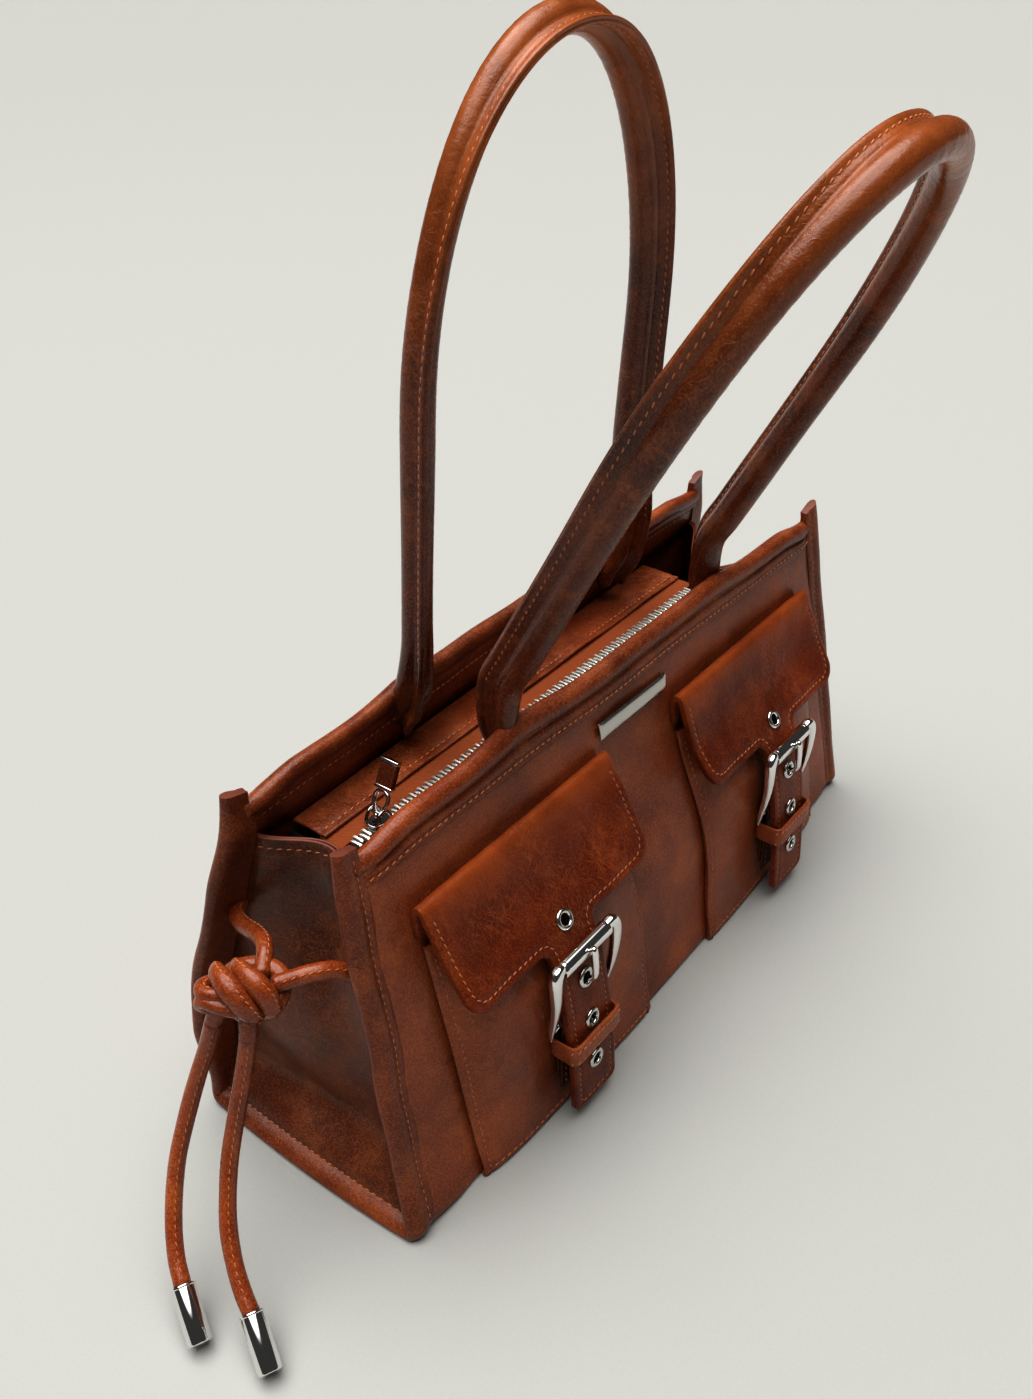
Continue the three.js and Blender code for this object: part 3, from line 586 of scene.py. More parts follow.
NICKEL = metal("nickel", rgb(0.64, 0.63, 0.60), 0.16)
GUNMETAL = metal("slider_metal", rgb(0.30, 0.29, 0.28), 0.12)
TOOTH_METAL = metal("tooth_metal", rgb(0.80, 0.78, 0.73), 0.42)
BADGE_METAL = metal("badge_metal", rgb(0.50, 0.48, 0.45), 0.2)
TAPE = cloth("zip_tape_twill", rgb(0.19, 0.042, 0.010), rgb(0.33, 0.085, 0.022), 420.0)
LINING = cloth("black_lining", rgb(0.008, 0.007, 0.007), rgb(0.02, 0.018, 0.017), 700.0)
BOARD = paint("grey_board", rgb(0.16, 0.14, 0.12), 0.85)

# ---- Camera, floor and light --------------------------------------------------------------------

CAMERA_PLACE = (-0.33783, -0.25023, 0.39763)
CAMERA_AZIMUTH, CAMERA_ELEVATION, CAMERA_ROLL = (math.radians(a) for a in (-50.9, 33.74, -2.09))
CAMERA_LENS = 32.94


def camera_axes():
    azimuth, elevation, roll = CAMERA_AZIMUTH, CAMERA_ELEVATION, CAMERA_ROLL
    flat = math.cos(elevation)
    back = np.array([math.sin(azimuth) * flat, -math.cos(azimuth) * flat, math.sin(elevation)])
    level = np.array([math.cos(azimuth), math.sin(azimuth), 0.0])
    upright = np.cross(back, level)
    right = math.cos(roll) * level + math.sin(roll) * upright
    up = -math.sin(roll) * level + math.cos(roll) * upright
    return right, up, back


def add_camera():
    camera = bpy.data.objects.new("camera", bpy.data.cameras.new("camera"))
    scene.collection.objects.link(camera)
    right, up, back = camera_axes()
    turn = Matrix([right, up, back]).transposed().to_4x4()
    camera.matrix_world = Matrix.Translation(CAMERA_PLACE) @ turn
    camera.data.lens = CAMERA_LENS
    camera.data.sensor_width = 36.0
    camera.data.clip_start, camera.data.clip_end = 0.01, 30.0
    scene.camera = camera


def add_light(name, place, target, width, height, watts):
    lamp = bpy.data.lights.new(name, "AREA")
    lamp.shape, lamp.size, lamp.size_y, lamp.energy = "RECTANGLE", width, height, watts
    obj = bpy.data.objects.new(name, lamp)
    scene.collection.objects.link(obj)
    obj.location = place
    obj.rotation_mode = "QUATERNION"
    obj.rotation_quaternion = (Vector(target) - Vector(place)).to_track_quat("-Z", "Y")


LIGHT_FROM = (-0.04, 0.14, 0.99)


def add_sky():
    """A dark room with one wide soft light above and a little behind the bag."""
    world = bpy.data.worlds.new("studio")
    world.use_nodes = True
    tree = world.node_tree
    spot = tree.nodes.new("ShaderNodeVectorMath")
    spot.operation = "DOT_PRODUCT"
    tree.links.new(tree.nodes.new("ShaderNodeTexCoord").outputs["Generated"], spot.inputs[0])
    spot.inputs[1].default_value = Vector(LIGHT_FROM).normalized()
    ramp = tree.nodes.new("ShaderNodeMapRange")
    ramp.interpolation_type = "SMOOTHSTEP"
    tree.links.new(spot.outputs["Value"], ramp.inputs[0])
    for index, value in enumerate((0.74, 0.9, 0.06, 5.9), 1):
        ramp.inputs[index].default_value = value
    background = tree.nodes["Background"]
    background.inputs["Color"].default_value = rgb(1.0, 0.995, 0.975)
    tree.links.new(ramp.outputs[0], background.inputs["Strength"])
    scene.world = world


def add_studio():
    floor = bpy.data.meshes.new("floor")
    reach = 12.0
    corners = [(-reach, -reach, 0), (reach, -reach, 0), (reach, reach, 0), (-reach, reach, 0)]
    floor.from_pydata(corners, [], [(0, 1, 2, 3)])
    backdrop = Shader("backdrop", Roughness=0.9, Specular_IOR_Level=0.1)
    weave = backdrop.noise(900.0, 2.0)
    shade = backdrop.mix(weave, rgb(0.366, 0.366, 0.351), rgb(0.394, 0.394, 0.378))
    floor.materials.append(backdrop.set(Base_Color=shade))
    obj = bpy.data.objects.new("floor", floor)
    scene.collection.objects.link(obj)
    add_sky()
    add_light("softbox", (0.1, 0.75, 2.2), (0, 0, 0.1), 0.9, 0.9, 6)
    scene.view_settings.view_transform = "Standard"
    scene.view_settings.gamma = 0.82


add_camera()
add_studio()

# ---- Tie at the left end ------------------------------------------------------------------------

TAILS = {
    "1": [(-181.5, 4.6, 91.6), (-184, 7.5, 80.5), (-188, 9, 71.5), (-192.5, 10, 62), (-198, 10, 52),
          (-203.5, 9, 43), (-209, 6.6, 33.6), (-214.5, 2.6, 25), (-219.4, -2.8, 18), (-223, -9, 13.2)],
    "2": [(-178, -7.4, 90.2), (-181, -7, 80), (-185, -7, 70), (-190, -7.5, 59.5), (-195.5, -9, 49.5),
          (-201, -12, 40), (-206.5, -16.5, 31), (-211, -22.5, 22.8), (-214.2, -29, 16.6),
          (-215.9, -33.9, 13.2)],
}
TIP_DOWN = unit((-0.37, -0.78, -0.5))
TIP_RADIUS, TIP_LENGTH = 4.0, 18.4
STRANDS = {
    "back": [(-142, 35, 97), (-148, 30.5, 97), (-152, 21, 100), (-154.5, 11, 103.5), (-159, 2.5, 106.5),
             (-167, -4, 104)],
    "front": [(-141, -30, 94), (-145, -25.5, 99), (-151, -21.5, 104.5), (-158, -17.5, 106.5),
              (-167, -10, 104.5)],
}
KNOT_ROOTS = {
    "1": [(-181.9, 5.0, 90.0), (-181.2, 4.2, 92.8), (-179.5, 2.6, 97.0), (-176.5, 0.5, 101.0)],
    "2": [(-178.45, -7.35, 88.7), (-177.7, -7.3, 91.5), (-176.3, -6.4, 96.0), (-174.5, -4.5, 100.5)],
}
KNOT_CENTRE = np.array([-173.0, -2.0, 102.0])
KNOT_SCALE, KNOT_THICKNESS = (0.88, 0.8, 0.88), 0.9


def cord_path(points, count):
    path = spline(points, count)
    return path + ripple(path, 30, 0.15, 5)[:, None] * unit((1, 1, 0))


def cord_seam(name, path, radius, start, turn=0.0):
    """The cord's own seam, a faint row of stitches along one side."""
    across, up = frames(path, start)
    out = unit(math.cos(turn) * across + math.sin(turn) * up)
    row = path + out * (radius + 0.02)
    return stitches(name, row[2:-2], out[2:-2], pitch=2.6, length=1.6, width=0.42)


def add_tails():
    for label, points in TAILS.items():
        path = cord_path(points, 60)
        width = CORD_RADIUS + ripple(path, 14, 0.07, 3)
        tail = tube(f"tie_tail_{label}", path, width, CORD_LEATHER, 24)
        seam = cord_seam(f"tie_tail_{label}_seam", path, CORD_RADIUS, (0.4, -0.6, 0.2), 1.2)
        tip = add_tip(label, path[-1])
        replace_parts(tail, f"left_tie_tail_{label}")


def add_tip(label, top):
    """A turned metal end with a thin lip, closed below."""
    r, end = TIP_RADIUS, TIP_LENGTH
    profile = [(0, 1.4), (r - 0.9, 1.4), (r - 0.75, 0.9), (r - 0.6, 0), (r + 0.05, 0), (r + 0.15, 0.25),
               (r + 0.1, 0.6), (r - 0.08, 0.8), (r - 0.03, 1.2), (r - 0.03, end - 0.7), (r - 0.2, end - 0.25),
               (r - 0.6, end), (r - 0.9, end - 0.05), (r - 1.3, end - 0.5), (0, end - 0.5)]
    tip = turned(f"tie_tip_{label}", profile, CHROME, top, TIP_DOWN, 48, slot="polished_metal", sharp=35)
    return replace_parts(tip, f"left_tie_tip_{label}")


add_tails()


def knot_band(name, course, radii, seam=None):
    """A turn of the knot. Its course is (right, up, nearer) from the knot's middle, as seen."""
    right, up, back = camera_axes()
    local = spline(course, 48) * KNOT_SCALE
    radii = np.array(radii) * KNOT_THICKNESS
    path = KNOT_CENTRE + local[:, :1] * right + local[:, 1:2] * up + local[:, 2:] * back
    width = np.interp(np.linspace(0, 1, 48), np.linspace(0, 1, len(radii)), radii)
    across, over = frames(path, back)
    section = circle(24)[None] * np.stack([width * 0.86, width], axis=1)[:, None]
    band = rings(name, sweep(path, across, over, section), CORD_LEATHER)
    if seam is not None:
        out = unit(math.cos(seam) * across + math.sin(seam) * over)
        reach = width[:, None] * 0.93
        stitches(f"{name}_seam", (path + out * reach)[4:-4], out[4:-4], pitch=2.2, length=1.5, width=0.5)
    return band


def add_knot():
    lower_turn = knot_band("tie_knot_lower_turn", [(-4, -7.5, -5), (-11, -7, -2), (-14.5, -4.6, 1.5),
                           (-12.5, -2.6, 5), (-6, -4.6, 7), (2, -7, 5), (6, -9, 1)], [2.6, 3, 3.2, 3.2, 2.8])
    knot_band("tie_knot_upper_turn", [(-3, 1, -5), (-10, 2.4, -3), (-14.3, 1.4, 1), (-12.6, -0.6, 5),
              (-7, -0.8, 6.4), (0, -1.5, 4)], [2.6, 3.1, 3.3, 3.3, 2.9], seam=1.0)
    knot_band("tie_knot_first_band", [(-10.5, 8.6, -3), (-8.6, 7.6, 3.2), (-4.2, 3.6, 8.2), (0.6, -2.2, 9),
              (4, -7.4, 6.4), (5, -10.2, 1)], [2.2, 3.6, 4.6, 4.5, 3.9, 2.8], seam=-1.0)
    knot_band("tie_knot_second_band", [(-3.5, 9.6, -3), (-0.8, 9, 3), (4.4, 5.6, 7.6), (9, 0.6, 7.8),
              (10.8, -5.6, 4.6), (8.6, -9.4, -1)], [2.4, 3.6, 4.5, 4.4, 3.9, 2.8], seam=-1.15)
    knot_band("tie_knot_back_turn", [(12, -6, 1), (13.6, 0, -2), (11.5, 6, -5), (4, 8.4, -7), (-5, 6.4, -8),
              (-9, 0, -8), (-5, -6, -7)], [3, 3.3, 3.4, 3.3, 3])
    knot_band("tie_knot_under_turn", [(-8, -2, -4), (-2, -9, -3), (5, -10, -2), (9, -4, -3)],
              [3, 3.3, 3.3, 3])
    for number, course in KNOT_ROOTS.items():
        tube(f"tie_knot_root_{number}", spline(course, 16), CORD_RADIUS + 0.12, CORD_LEATHER, 24)
    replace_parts(lower_turn, "left_tie_knot")


def add_strands():
    for label, points in STRANDS.items():
        path = spline(points, 30)
        strand = tube(f"tie_{label}_strand", path, CORD_RADIUS + ripple(path, 9, 0.06, 8), CORD_LEATHER, 24)
        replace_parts(strand, f"left_tie_{label}_strand")
        cord_seam(f"tie_{label}_strand_seam", path, CORD_RADIUS, (0, 0, 1), -0.6)


add_knot()
add_strands()

# ---- Panels, bottom and lining ------------------------------------------------------------------

PANEL_TOP = HEIGHT - 6.0


def add_panels():
    for side, label in SIDES:
        heights = np.concatenate([np.linspace(0.1, 8, 10), np.linspace(10, PANEL_TOP, 68)])
        u, z = np.meshgrid(np.linspace(-1, 1, 150), heights, indexing="ij")
        x = u * (panel_end(z) + 0.2)
        seam = -0.5 * bump(half_length(z) - np.abs(x) - 10.6, 1.6)
        points = on_panel(side, x, z, seam)
        panel = shell(f"{label}_panel_leather", points, 2.6, (0, side, 0), LEATHER)
        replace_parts(panel, f"{label}_panel")


def add_bottom():
    x, v = np.meshgrid(np.linspace(-149.4, 149.4, 90), np.linspace(-1, 1, 40), indexing="ij")
    y = v * (half_depth(x, 2) - 3.2)
    points = vec(x, y, 0.0 * x)
    points[..., 2] = 0.05 + np.abs(ripple(points, 60, 0.12, 4))
    bottom = shell("bottom_leather", points, -2.6, (0, 0, 1), INNER_LEATHER)
    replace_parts(bottom, "bottom_panel")
    along = np.linspace(-146, 146, 60)
    for side, label in SIDES:
        row = vec(along, side * (half_depth(along, 2) - 7), 0.4)
        stitches(f"bottom_stitches_{label}", row, (0, 0, -1), pitch=3.6)


def add_lining():
    low, top = corner("lining", 0, 2), corner("lining", 1, 2)
    left, right = corner("lining", 0, 0), corner("lining", 1, 0)
    around = [(left, 1), (left, -1), (right, -1), (right, 1)]
    course = []
    for (x0, s0), (x1, s1) in zip(around, around[1:] + around[:1]):
        steps = 40 if x0 != x1 else 12
        course += [(lerp(x0, x1, i / steps), lerp(s0, s1, i / steps)) for i in range(steps)]
    course = np.array(course)
    heights = np.concatenate([np.linspace(low, top, 26), np.linspace(top - 0.2, low + 1.2, 26)])
    levels = []
    for index, z in enumerate(heights):
        inset = 1.0 if index < 26 else 1.9
        x = course[:, 0] * (1 - (inset - 1) / 110)
        deep = half_depth(course[:, 0], z) - 4.3 - inset - bulge(course[:, 0], z)
        ring = vec(x, course[:, 1] * deep, z)
        folds = ripple(ring * (1, 1, 0.25), 22, 0.7, 9) - 0.8
        ring[:, 1] += np.sign(course[:, 1]) * folds * (np.abs(course[:, 1]) > 0.98)
        levels.append(ring)
    lining = rings("lining_cloth", np.array(levels), LINING, slot="lining")
    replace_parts(lining, "lining")


add_panels()
add_bottom()
add_lining()
base_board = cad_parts["base_board"].data
base_board.materials.clear()
base_board.materials.append(BOARD)

# ---- End seams and gussets ----------------------------------------------------------------------

RIM_SECTION = [(11.4, 1.7), (10.6, 1.15), (9.4, 0.95), (8.6, 1.15), (8.0, 1.25), (7.4, 1.0), (6.4, 0.4),
               (5.0, 0.05), (3.4, 0.15), (1.9, 0.75), (0.8, 1.8), (0.15, 3.1), (0.1, 4.3), (0.6, 5.5),
               (1.6, 6.3), (3.2, 6.7), (6.0, 6.6), (9.0, 6.4), (10.8, 6.5), (10.9, 4.0)]
BASE_SECTION = [(11.4, 0.6), (10.4, 0.3), (9.2, 0.15), (8.0, 0.1), (6.8, 0.1), (5.6, 0.1), (4.4, 0.1),
                (3.2, 0.1), (2.0, 0.12), (1.0, 0.35), (0.35, 0.9), (0.1, 1.7), (0.3, 2.5), (0.8, 3.4),
                (1.6, 4.4), (2.6, 5.2), (3.8, 5.9), (5.0, 6.4), (6.6, 6.9), (7.4, 5.6)]
RIM_SEAM, BASE_SEAM = 4, 17  # the point of each section that carries the stitches
EAR = 18.0  # how far below its top a seam starts to thin out
GUSSET_LOW, HEM = 3.3, GUSSET_TOP - 3.6


def rim_course(end):
    """Stations down the front edge, under the end and up the back: place, inward, share of base."""
    legs = np.linspace(HEIGHT, RIM_CORNER, 50)
    low = float(half_depth(end * half_length(RIM_CORNER), RIM_CORNER)) + 1
    down = [(-(float(half_depth(end * half_length(z), z)) + 1), z, 1.0, 0.0, 0.0) for z in legs]
    turn = [(-low + RIM_CORNER * (1 - math.cos(a)), RIM_CORNER * (1 - math.sin(a)), math.cos(a),
             math.sin(a), 0.8 * float(smooth(a, 0.2, 1.6))) for a in np.linspace(0.1, math.pi / 2, 12)]
    under = [(y, 0.0, 0.0, 1.0, min(0.8 + (y + low - 6) / 25, 1)) for y in np.linspace(-low + 7, -2, 18)]
    half = down + turn + under
    mirrored = [(-y, z, -iy, iz, base) for y, z, iy, iz, base in reversed(half)]
    return np.array(half + mirrored)


def add_rim(end, label):
    course = rim_course(end)
    y, z, inward_y, inward_z, base = course.T
    section = lerp(np.array(RIM_SECTION), np.array(BASE_SECTION), base[:, None, None])
    ear = smooth(z, HEIGHT - EAR, HEIGHT)[:, None]
    x = end * (half_length(z)[:, None] - section[..., 0] * (1 - 0.15 * ear))
    depth = section[..., 1] * (1 - 0.4 * ear)
    points = vec(x, y[:, None] + inward_y[:, None] * depth, z[:, None] + inward_z[:, None] * depth)
    free = smooth(points[..., 2], 2, 40)
    points[..., 0] += (ripple(points, 60, 0.35, 31 + end) + ripple(points, 17, 0.1, 32)) * free
    points[..., 1] += ripple(points, 36, 0.45, 41 + end) * free
    points[..., 2] += (1.6 - 0.26 * section[..., 0]) * ear
    if end < 0:
        loose = 5.5 * smooth(z, 6, 40) * smooth(z, 150, 112) * (y > 0)
        points[..., 0] -= loose[:, None] * (1 - section[..., 0] / RIM_SECTION[0][0])
    points[..., 2] = np.maximum(points[..., 2], 0.05)
    rim = rings(f"{label}_end_seam_leather", points, RIM_LEATHER)
    round_edges(rim, 0.6, 3)
    rim.data.materials.append(EDGE)
    for polygon in rim.data.polygons:
        polygon.material_index = int(len(polygon.vertices) > 4)
    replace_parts(rim, f"{label}_end_seam")
    row = points[:, RIM_SEAM].copy()
    row[:, 2] = np.maximum(row[:, 2], 0.4)
    out = unit(vec(0, -inward_y, -inward_z))
    stitches(f"{label}_end_seam_stitches", row[1:-1] + 0.05 * out[1:-1], out[1:-1])
    seam = points[base > 0.75][:, BASE_SEAM]
    slope = unit((end * 0.75, 0, 0.66))
    stitches(f"{label}_end_seam_base_stitches", seam[2:-2] + slope * 0.1, slope)


def gusset_points(end, fold, low, high, extra=0.0):
    v, u = np.meshgrid(np.linspace(0, 1, 90), np.linspace(0, 1, 60), indexing="ij")
    z = lerp(low, high, v)
    share = (z - GUSSET_LOW) / (GUSSET_TOP - GUSSET_LOW)
    crease = fold * smooth(share, 0.15, 1) * (0.5 + 0.5 * np.cos(2 * math.pi * (u - 0.5)))
    x = end * (panel_end(z) - crease - extra)
    y = (2 * u - 1) * (half_depth(x, z) - 4.8)
    points = vec(x, y, z)
    inner = np.sin(math.pi * u) * smooth(z, 4, 30)
    tied = bump(z - 96, 17) * (0.55 + 0.45 * np.cos(math.pi * (2 * u - 1))) * (end < 0)
    slack = 5.5 * bump(z - 50, 22) * bump(y - 8, 24) - 2.5 * bump(z - 17, 8)
    points[..., 0] += end * 6.0 * smooth(z, 24, 7)
    points[..., 0] += end * inner * (ripple(points * (1, 1, 0.6), 60, 1.6, 51 + end)
                                     + ripple(points, 20, 0.35, 61 + end) - 1.6 - 8 * tied + slack)
    return points


def add_gusset(end, label, fold):
    points = gusset_points(end, fold, GUSSET_LOW, GUSSET_TOP)
    z, y = points[..., 2], points[..., 1]
    hem = -0.45 * bump(z - HEM, 1.0)
    edge = -0.8 * bump(np.abs(y) - (half_depth(points[..., 0], z) - 5.6), 1.6)
    points[..., 0] += end * (hem + edge)
    # The gusset's darker leather is painted shade.
    gusset = shell(f"{label}_gusset_leather", points, 1.2, (end, 0, 0), SHADED_GUSSET_LEATHER, cut=EDGE)
    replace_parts(gusset, f"{label}_gusset")
    inner = gusset_points(end, fold, 80, GUSSET_TOP - 0.5, 1.6)
    shell(f"{label}_gusset_inner_leather", inner, 1.1, (end, 0, 0), INNER_LEATHER, cut=EDGE)
    normals = grid_normals(points, (end, 0, 0))
    row = int(np.argmin(np.abs(z[:, 0] - HEM)))
    place, normal = points[row, 2:-2], normals[row, 2:-2]
    stitches(f"{label}_gusset_stitches", place + normal * 0.1, normal)


for (end_sign, end_label), end_fold in zip(ENDS, (FOLD_LEFT, FOLD_RIGHT)):
    add_rim(end_sign, end_label)
    add_gusset(end_sign, end_label, end_fold)

# ---- Rolled top edges ---------------------------------------------------------------------------

EDGE_OUTER = [(0.35, -15.6), (0.9, -15.7), (1.25, -15.2), (1.3, -14.3), (1.1, -13.5), (0.85, -13.0),
              (1.1, -12.5), (1.35, -11.2), (1.25, -9.6), (0.8, -8.4), (0.3, -7.8), (0.8, -7.1),
              (1.8, -6.2), (2.4, -4.8), (2.4, -3.1), (1.8, -1.5), (0.6, -0.4), (-1.1, 0.0), (-2.8, -0.4),
              (-4.0, -1.5), (-4.7, -3.2), (-4.7, -5.0), (-4.3, -6.6), (-3.9, -7.5), (-4.3, -8.4),
              (-4.5, -11.0), (-4.2, -13.6), (-4.5, -15.0), (-4.4, -20.0), (-4.35, -25.6)]
EDGE_INNER = [(-3.4, -25.7), (-3.4, -16.0), (-3.35, -8.0), (-3.2, -6.4), (-1.5, -5.2), (0.2, -6.4),
              (0.35, -8.0)]


def sag(side, x):
    """How far a top edge hangs between its ears and its handle's feet."""
    x = np.abs(np.asarray(x, float))
    outer = np.sin(math.pi * np.clip((x - 66) / 84, 0, 1)) ** 0.8
    inner = np.sin(math.pi * np.clip((x + 64) / 128, 0, 1)) * (x < 64)
    return (3.2 if side > 0 else 2.4) * outer + 1.6 * inner + 3.6 * smooth(x, 116, 140)


def edge_place(side, x, out, drop):
    z = HEIGHT + drop
    share = smooth(drop, -16, -3)
    tucked = 1.4 * smooth(np.abs(x), half_length(z) - 18, half_length(z) - 8)
    place = vec(x, side * (half_depth(x, z) + out - tucked * (np.asarray(out) > 0)), z - sag(side, x) * share)
    place[..., 1] += side * ripple(place, 45, 0.45, 71 + side)
    place[..., 2] += ripple(place, 38, 0.35, 81 + side) * share
    return place


def add_top_edges():
    section = np.array(EDGE_OUTER + EDGE_INNER)
    for side, label in SIDES:
        end = half_length(HEIGHT - 8) - 7.5
        x, k = np.meshgrid(np.linspace(-end, end, 190), np.arange(len(section)), indexing="ij")
        points = edge_place(side, x, section[k, 0], section[k, 1])
        edge = rings(f"{label}_top_edge_leather", points, RIM_LEATHER)
        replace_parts(edge, f"{label}_top_edge")
        row = np.linspace(3 - end, end - 3, 140)
        outward = (0, side, 0.15)
        stitches(f"{label}_top_edge_stitches", edge_place(side, row, 1.55, -13.0), outward)
        inward = (0, -side, 0.1)
        stitches(f"{label}_facing_stitches", edge_place(side, row, -4.25, -13.6), inward)


add_top_edges()

# ---- Zip ----------------------------------------------------------------------------------------

TAPE_TOP = corner("front_zip_tape", 1, 2)
TOOTH_PITCH = 4.0
STRIP_SEAM = 12.2  # the strip's row of stitches, and the tape's outer edge under it


def add_zip_side(side, label):
    u, v = np.meshgrid(np.linspace(0, 1, 120), np.linspace(0, 1, 14), indexing="ij")
    x = lerp(ZIP_LEFT, ZIP_RIGHT, u)
    y = lerp(half_depth(x, ZIP_HEIGHT) - 4.7, 9.2, v)
    z = ZIP_HEIGHT - 0.1 - 0.35 * bump(y - STRIP_SEAM, 0.8)
    points = vec(x, side * y, z)
    points[..., 2] += ripple(points, 30, 0.3, 91 + side) * smooth(v, 0, 0.5)
    strip = shell(f"{label}_zip_strip_leather", points, 1.3, (0, 0, 1), RIM_LEATHER)
    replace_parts(strip, f"{label}_zip_strip")
    row = vec(np.linspace(ZIP_LEFT + 2, ZIP_RIGHT - 2, 90), side * STRIP_SEAM, ZIP_HEIGHT - 0.3)
    stitches(f"{label}_zip_strip_stitches", row, (0, 0, 1))
    y = lerp(STRIP_SEAM, 2.5, v)
    points = vec(x, side * y, TAPE_TOP - 0.5 * smooth(v, 0.8, 1))
    tape = shell(f"{label}_zip_tape_twill", points, 0.6, (0, 0, 1), TAPE, edge=0.15, slot="zip_tape")
    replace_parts(tape, f"{label}_zip_tape")
    add_teeth(side, label)


def add_teeth(side, label):
    """One row of moulded teeth, each with a narrow neck, in one mesh."""
    outline = np.array(mirrored([(-0.6, 2.9), (-0.6, 1.6), (-0.5, 1.0), (-0.5, 0.2), (-0.62, -0.2),
                                 (-0.62, -1.5), (-0.4, -1.8)]))
    middle = outline.mean(0)
    layers = [(0.72, -1.15), (0.95, -0.95), (1.0, -0.6), (1.0, 0.6), (0.95, 0.95), (0.72, 1.15)]
    template = np.array([[(*(middle + (p - middle) * scale), height) for p in outline]
                         for scale, height in layers])
    around = len(outline)
    faces = grid_faces(len(layers), around, wrap=True)
    last = around * (len(layers) - 1)
    faces += [tuple(range(around)), tuple(reversed(range(last, last + around)))]
    start = corner(f"{label}_zip_teeth", 0, 0) + 1.3
    end = corner(f"{label}_zip_teeth", 1, 0)
    places = np.arange(start, end, TOOTH_PITCH)
    chunks, all_faces = [], []
    for index, x in enumerate(places):
        tooth = template.reshape(-1, 3) * (1, side, 1) + (x, 0, TAPE_TOP - 0.35)
        all_faces += [tuple(i + len(tooth) * index for i in face) for face in faces]
        chunks.append(tooth)
    teeth = make(f"{label}_zip_teeth_metal", np.vstack(chunks), all_faces, TOOTH_METAL, sharp=30,
                 slot="zip_metal")
    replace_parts(teeth, f"{label}_zip_teeth")


SLIDER_X = (corner("zip_slider", 0, 0) + corner("zip_slider", 1, 0)) / 2
PLATE_TOP = TAPE_TOP + 2.4
PIN_HEIGHT = PLATE_TOP + 2.6
PULL_LEAN = math.radians(28)


def plate(name, outline, low, high, material, place=None, edge=0.35, **more):
    """A flat piece cut to an outline in x and y, with rounded edges."""
    outline = np.asarray(outline, float)
    points = np.vstack([np.column_stack([outline, np.full(len(outline), h)]) for h in (low, high)])
    count = len(outline)
    faces = [tuple(range(count)), tuple(reversed(range(count, 2 * count)))]
    faces += [(i, (i + 1) % count, (i + 1) % count + count, i + count) for i in range(count)]
    if place is not None:
        points = place(points)
    obj = make(name, points, faces, material, sharp=35, **more)
    return round_edges(obj, edge, 3)


def shield(half_x, half_y, nose):
    """A zip slider's outline, wide at one end and drawn in towards the other."""
    x, y = squared(32, 0.6)
    return np.column_stack([x * half_x, y * half_y * lerp(nose, 1.0, (x + 1) / 2)])


def add_slider():
    metal_slot = {"body": "slider", "slot": "zip_metal"}
    outline = shield(4.4, 3.9, 0.72) + (SLIDER_X, 0)
    top = plate("zip_slider_top", outline, PLATE_TOP - 1.1, PLATE_TOP, GUNMETAL, **metal_slot)
    plate("zip_slider_bottom", outline, TAPE_TOP - 3.4, TAPE_TOP - 2.3, GUNMETAL, **metal_slot)
    block("zip_slider_web", (SLIDER_X - 3.3, -0.4, TAPE_TOP - 2.8), (SLIDER_X + 2.5, 0.4, PLATE_TOP - 0.5),
          GUNMETAL, 0.1, **metal_slot)
    bridge = [(-3.6, 0, -0.4), (-3.2, 0, 1.6), (-1.4, 0, 3.9), (1.4, 0, 3.9), (3.2, 0, 1.6), (3.6, 0, -0.4)]
    for side, label in SIDES:
        path = spline(bridge, 24) + (SLIDER_X, side * 2.4, PLATE_TOP)
        tube(f"zip_slider_arm_{label}", path, 0.62, GUNMETAL, 14, start=(0, 1, 0), **metal_slot)
    pin = vec(SLIDER_X, np.linspace(-2.5, 2.5, 6), PIN_HEIGHT)
    tube("zip_slider_pin", pin, 0.68, GUNMETAL, 14, **metal_slot)
    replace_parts(top, "zip_slider")


def pull_place(points):
    """From the pull's own frame, with z along it, to where it leans."""
    points = np.asarray(points, float)
    c, s = math.cos(PULL_LEAN), math.sin(PULL_LEAN)
    x = points[..., 0] * c + points[..., 2] * s
    z = -points[..., 0] * s + points[..., 2] * c
    return vec(x + SLIDER_X, points[..., 1], z + PIN_HEIGHT)


def stood_up(points):
    """A plate's points turned so that its outline's second axis runs along the pull."""
    return pull_place(points[:, [2, 0, 1]])


def add_pull():
    more = {"body": "pull", "slot": "zip_metal"}
    turn = np.linspace(0, 2 * math.pi, 40, endpoint=False)
    wide = 1.9 + 1.5 * smooth(np.cos(turn), -0.9, 0.7)
    ring = vec(0, wide * np.sin(turn), 3.6 + 4.6 * np.cos(turn))
    path = pull_place(ring)
    across, up = frames(path, unit(pull_place((1, 0, 0)) - pull_place((0, 0, 0))), closed=True)
    section = circle(14) * 0.85
    link = rings("zip_pull_ring", sweep(path, across, up, section), CHROME, closed=True, **more)
    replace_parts(link, "zip_pull_link")
    tab = mirrored([(-3.5, 9.4), (-3.7, 10.2), (-3.7, 18.2), (-3.2, 19)])
    leather_tab = plate("zip_pull_leather", tab, -1.15, 1.15, INNER_LEATHER, stood_up, 0.5, body="pull",
                        slot="leather")
    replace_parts(leather_tab, "zip_pull_tab")
    for name, low, high in (("top", 17.9, 19.2), ("foot", 8.6, 9.9)):
        band = [(-3.9, low), (-3.9, high), (3.9, high), (3.9, low)]
        plate(f"zip_pull_{name}", band, -1.35, 1.35, CHROME, stood_up, 0.3, **more)


for side_sign, side_label in SIDES:
    add_zip_side(side_sign, side_label)
add_slider()
add_pull()

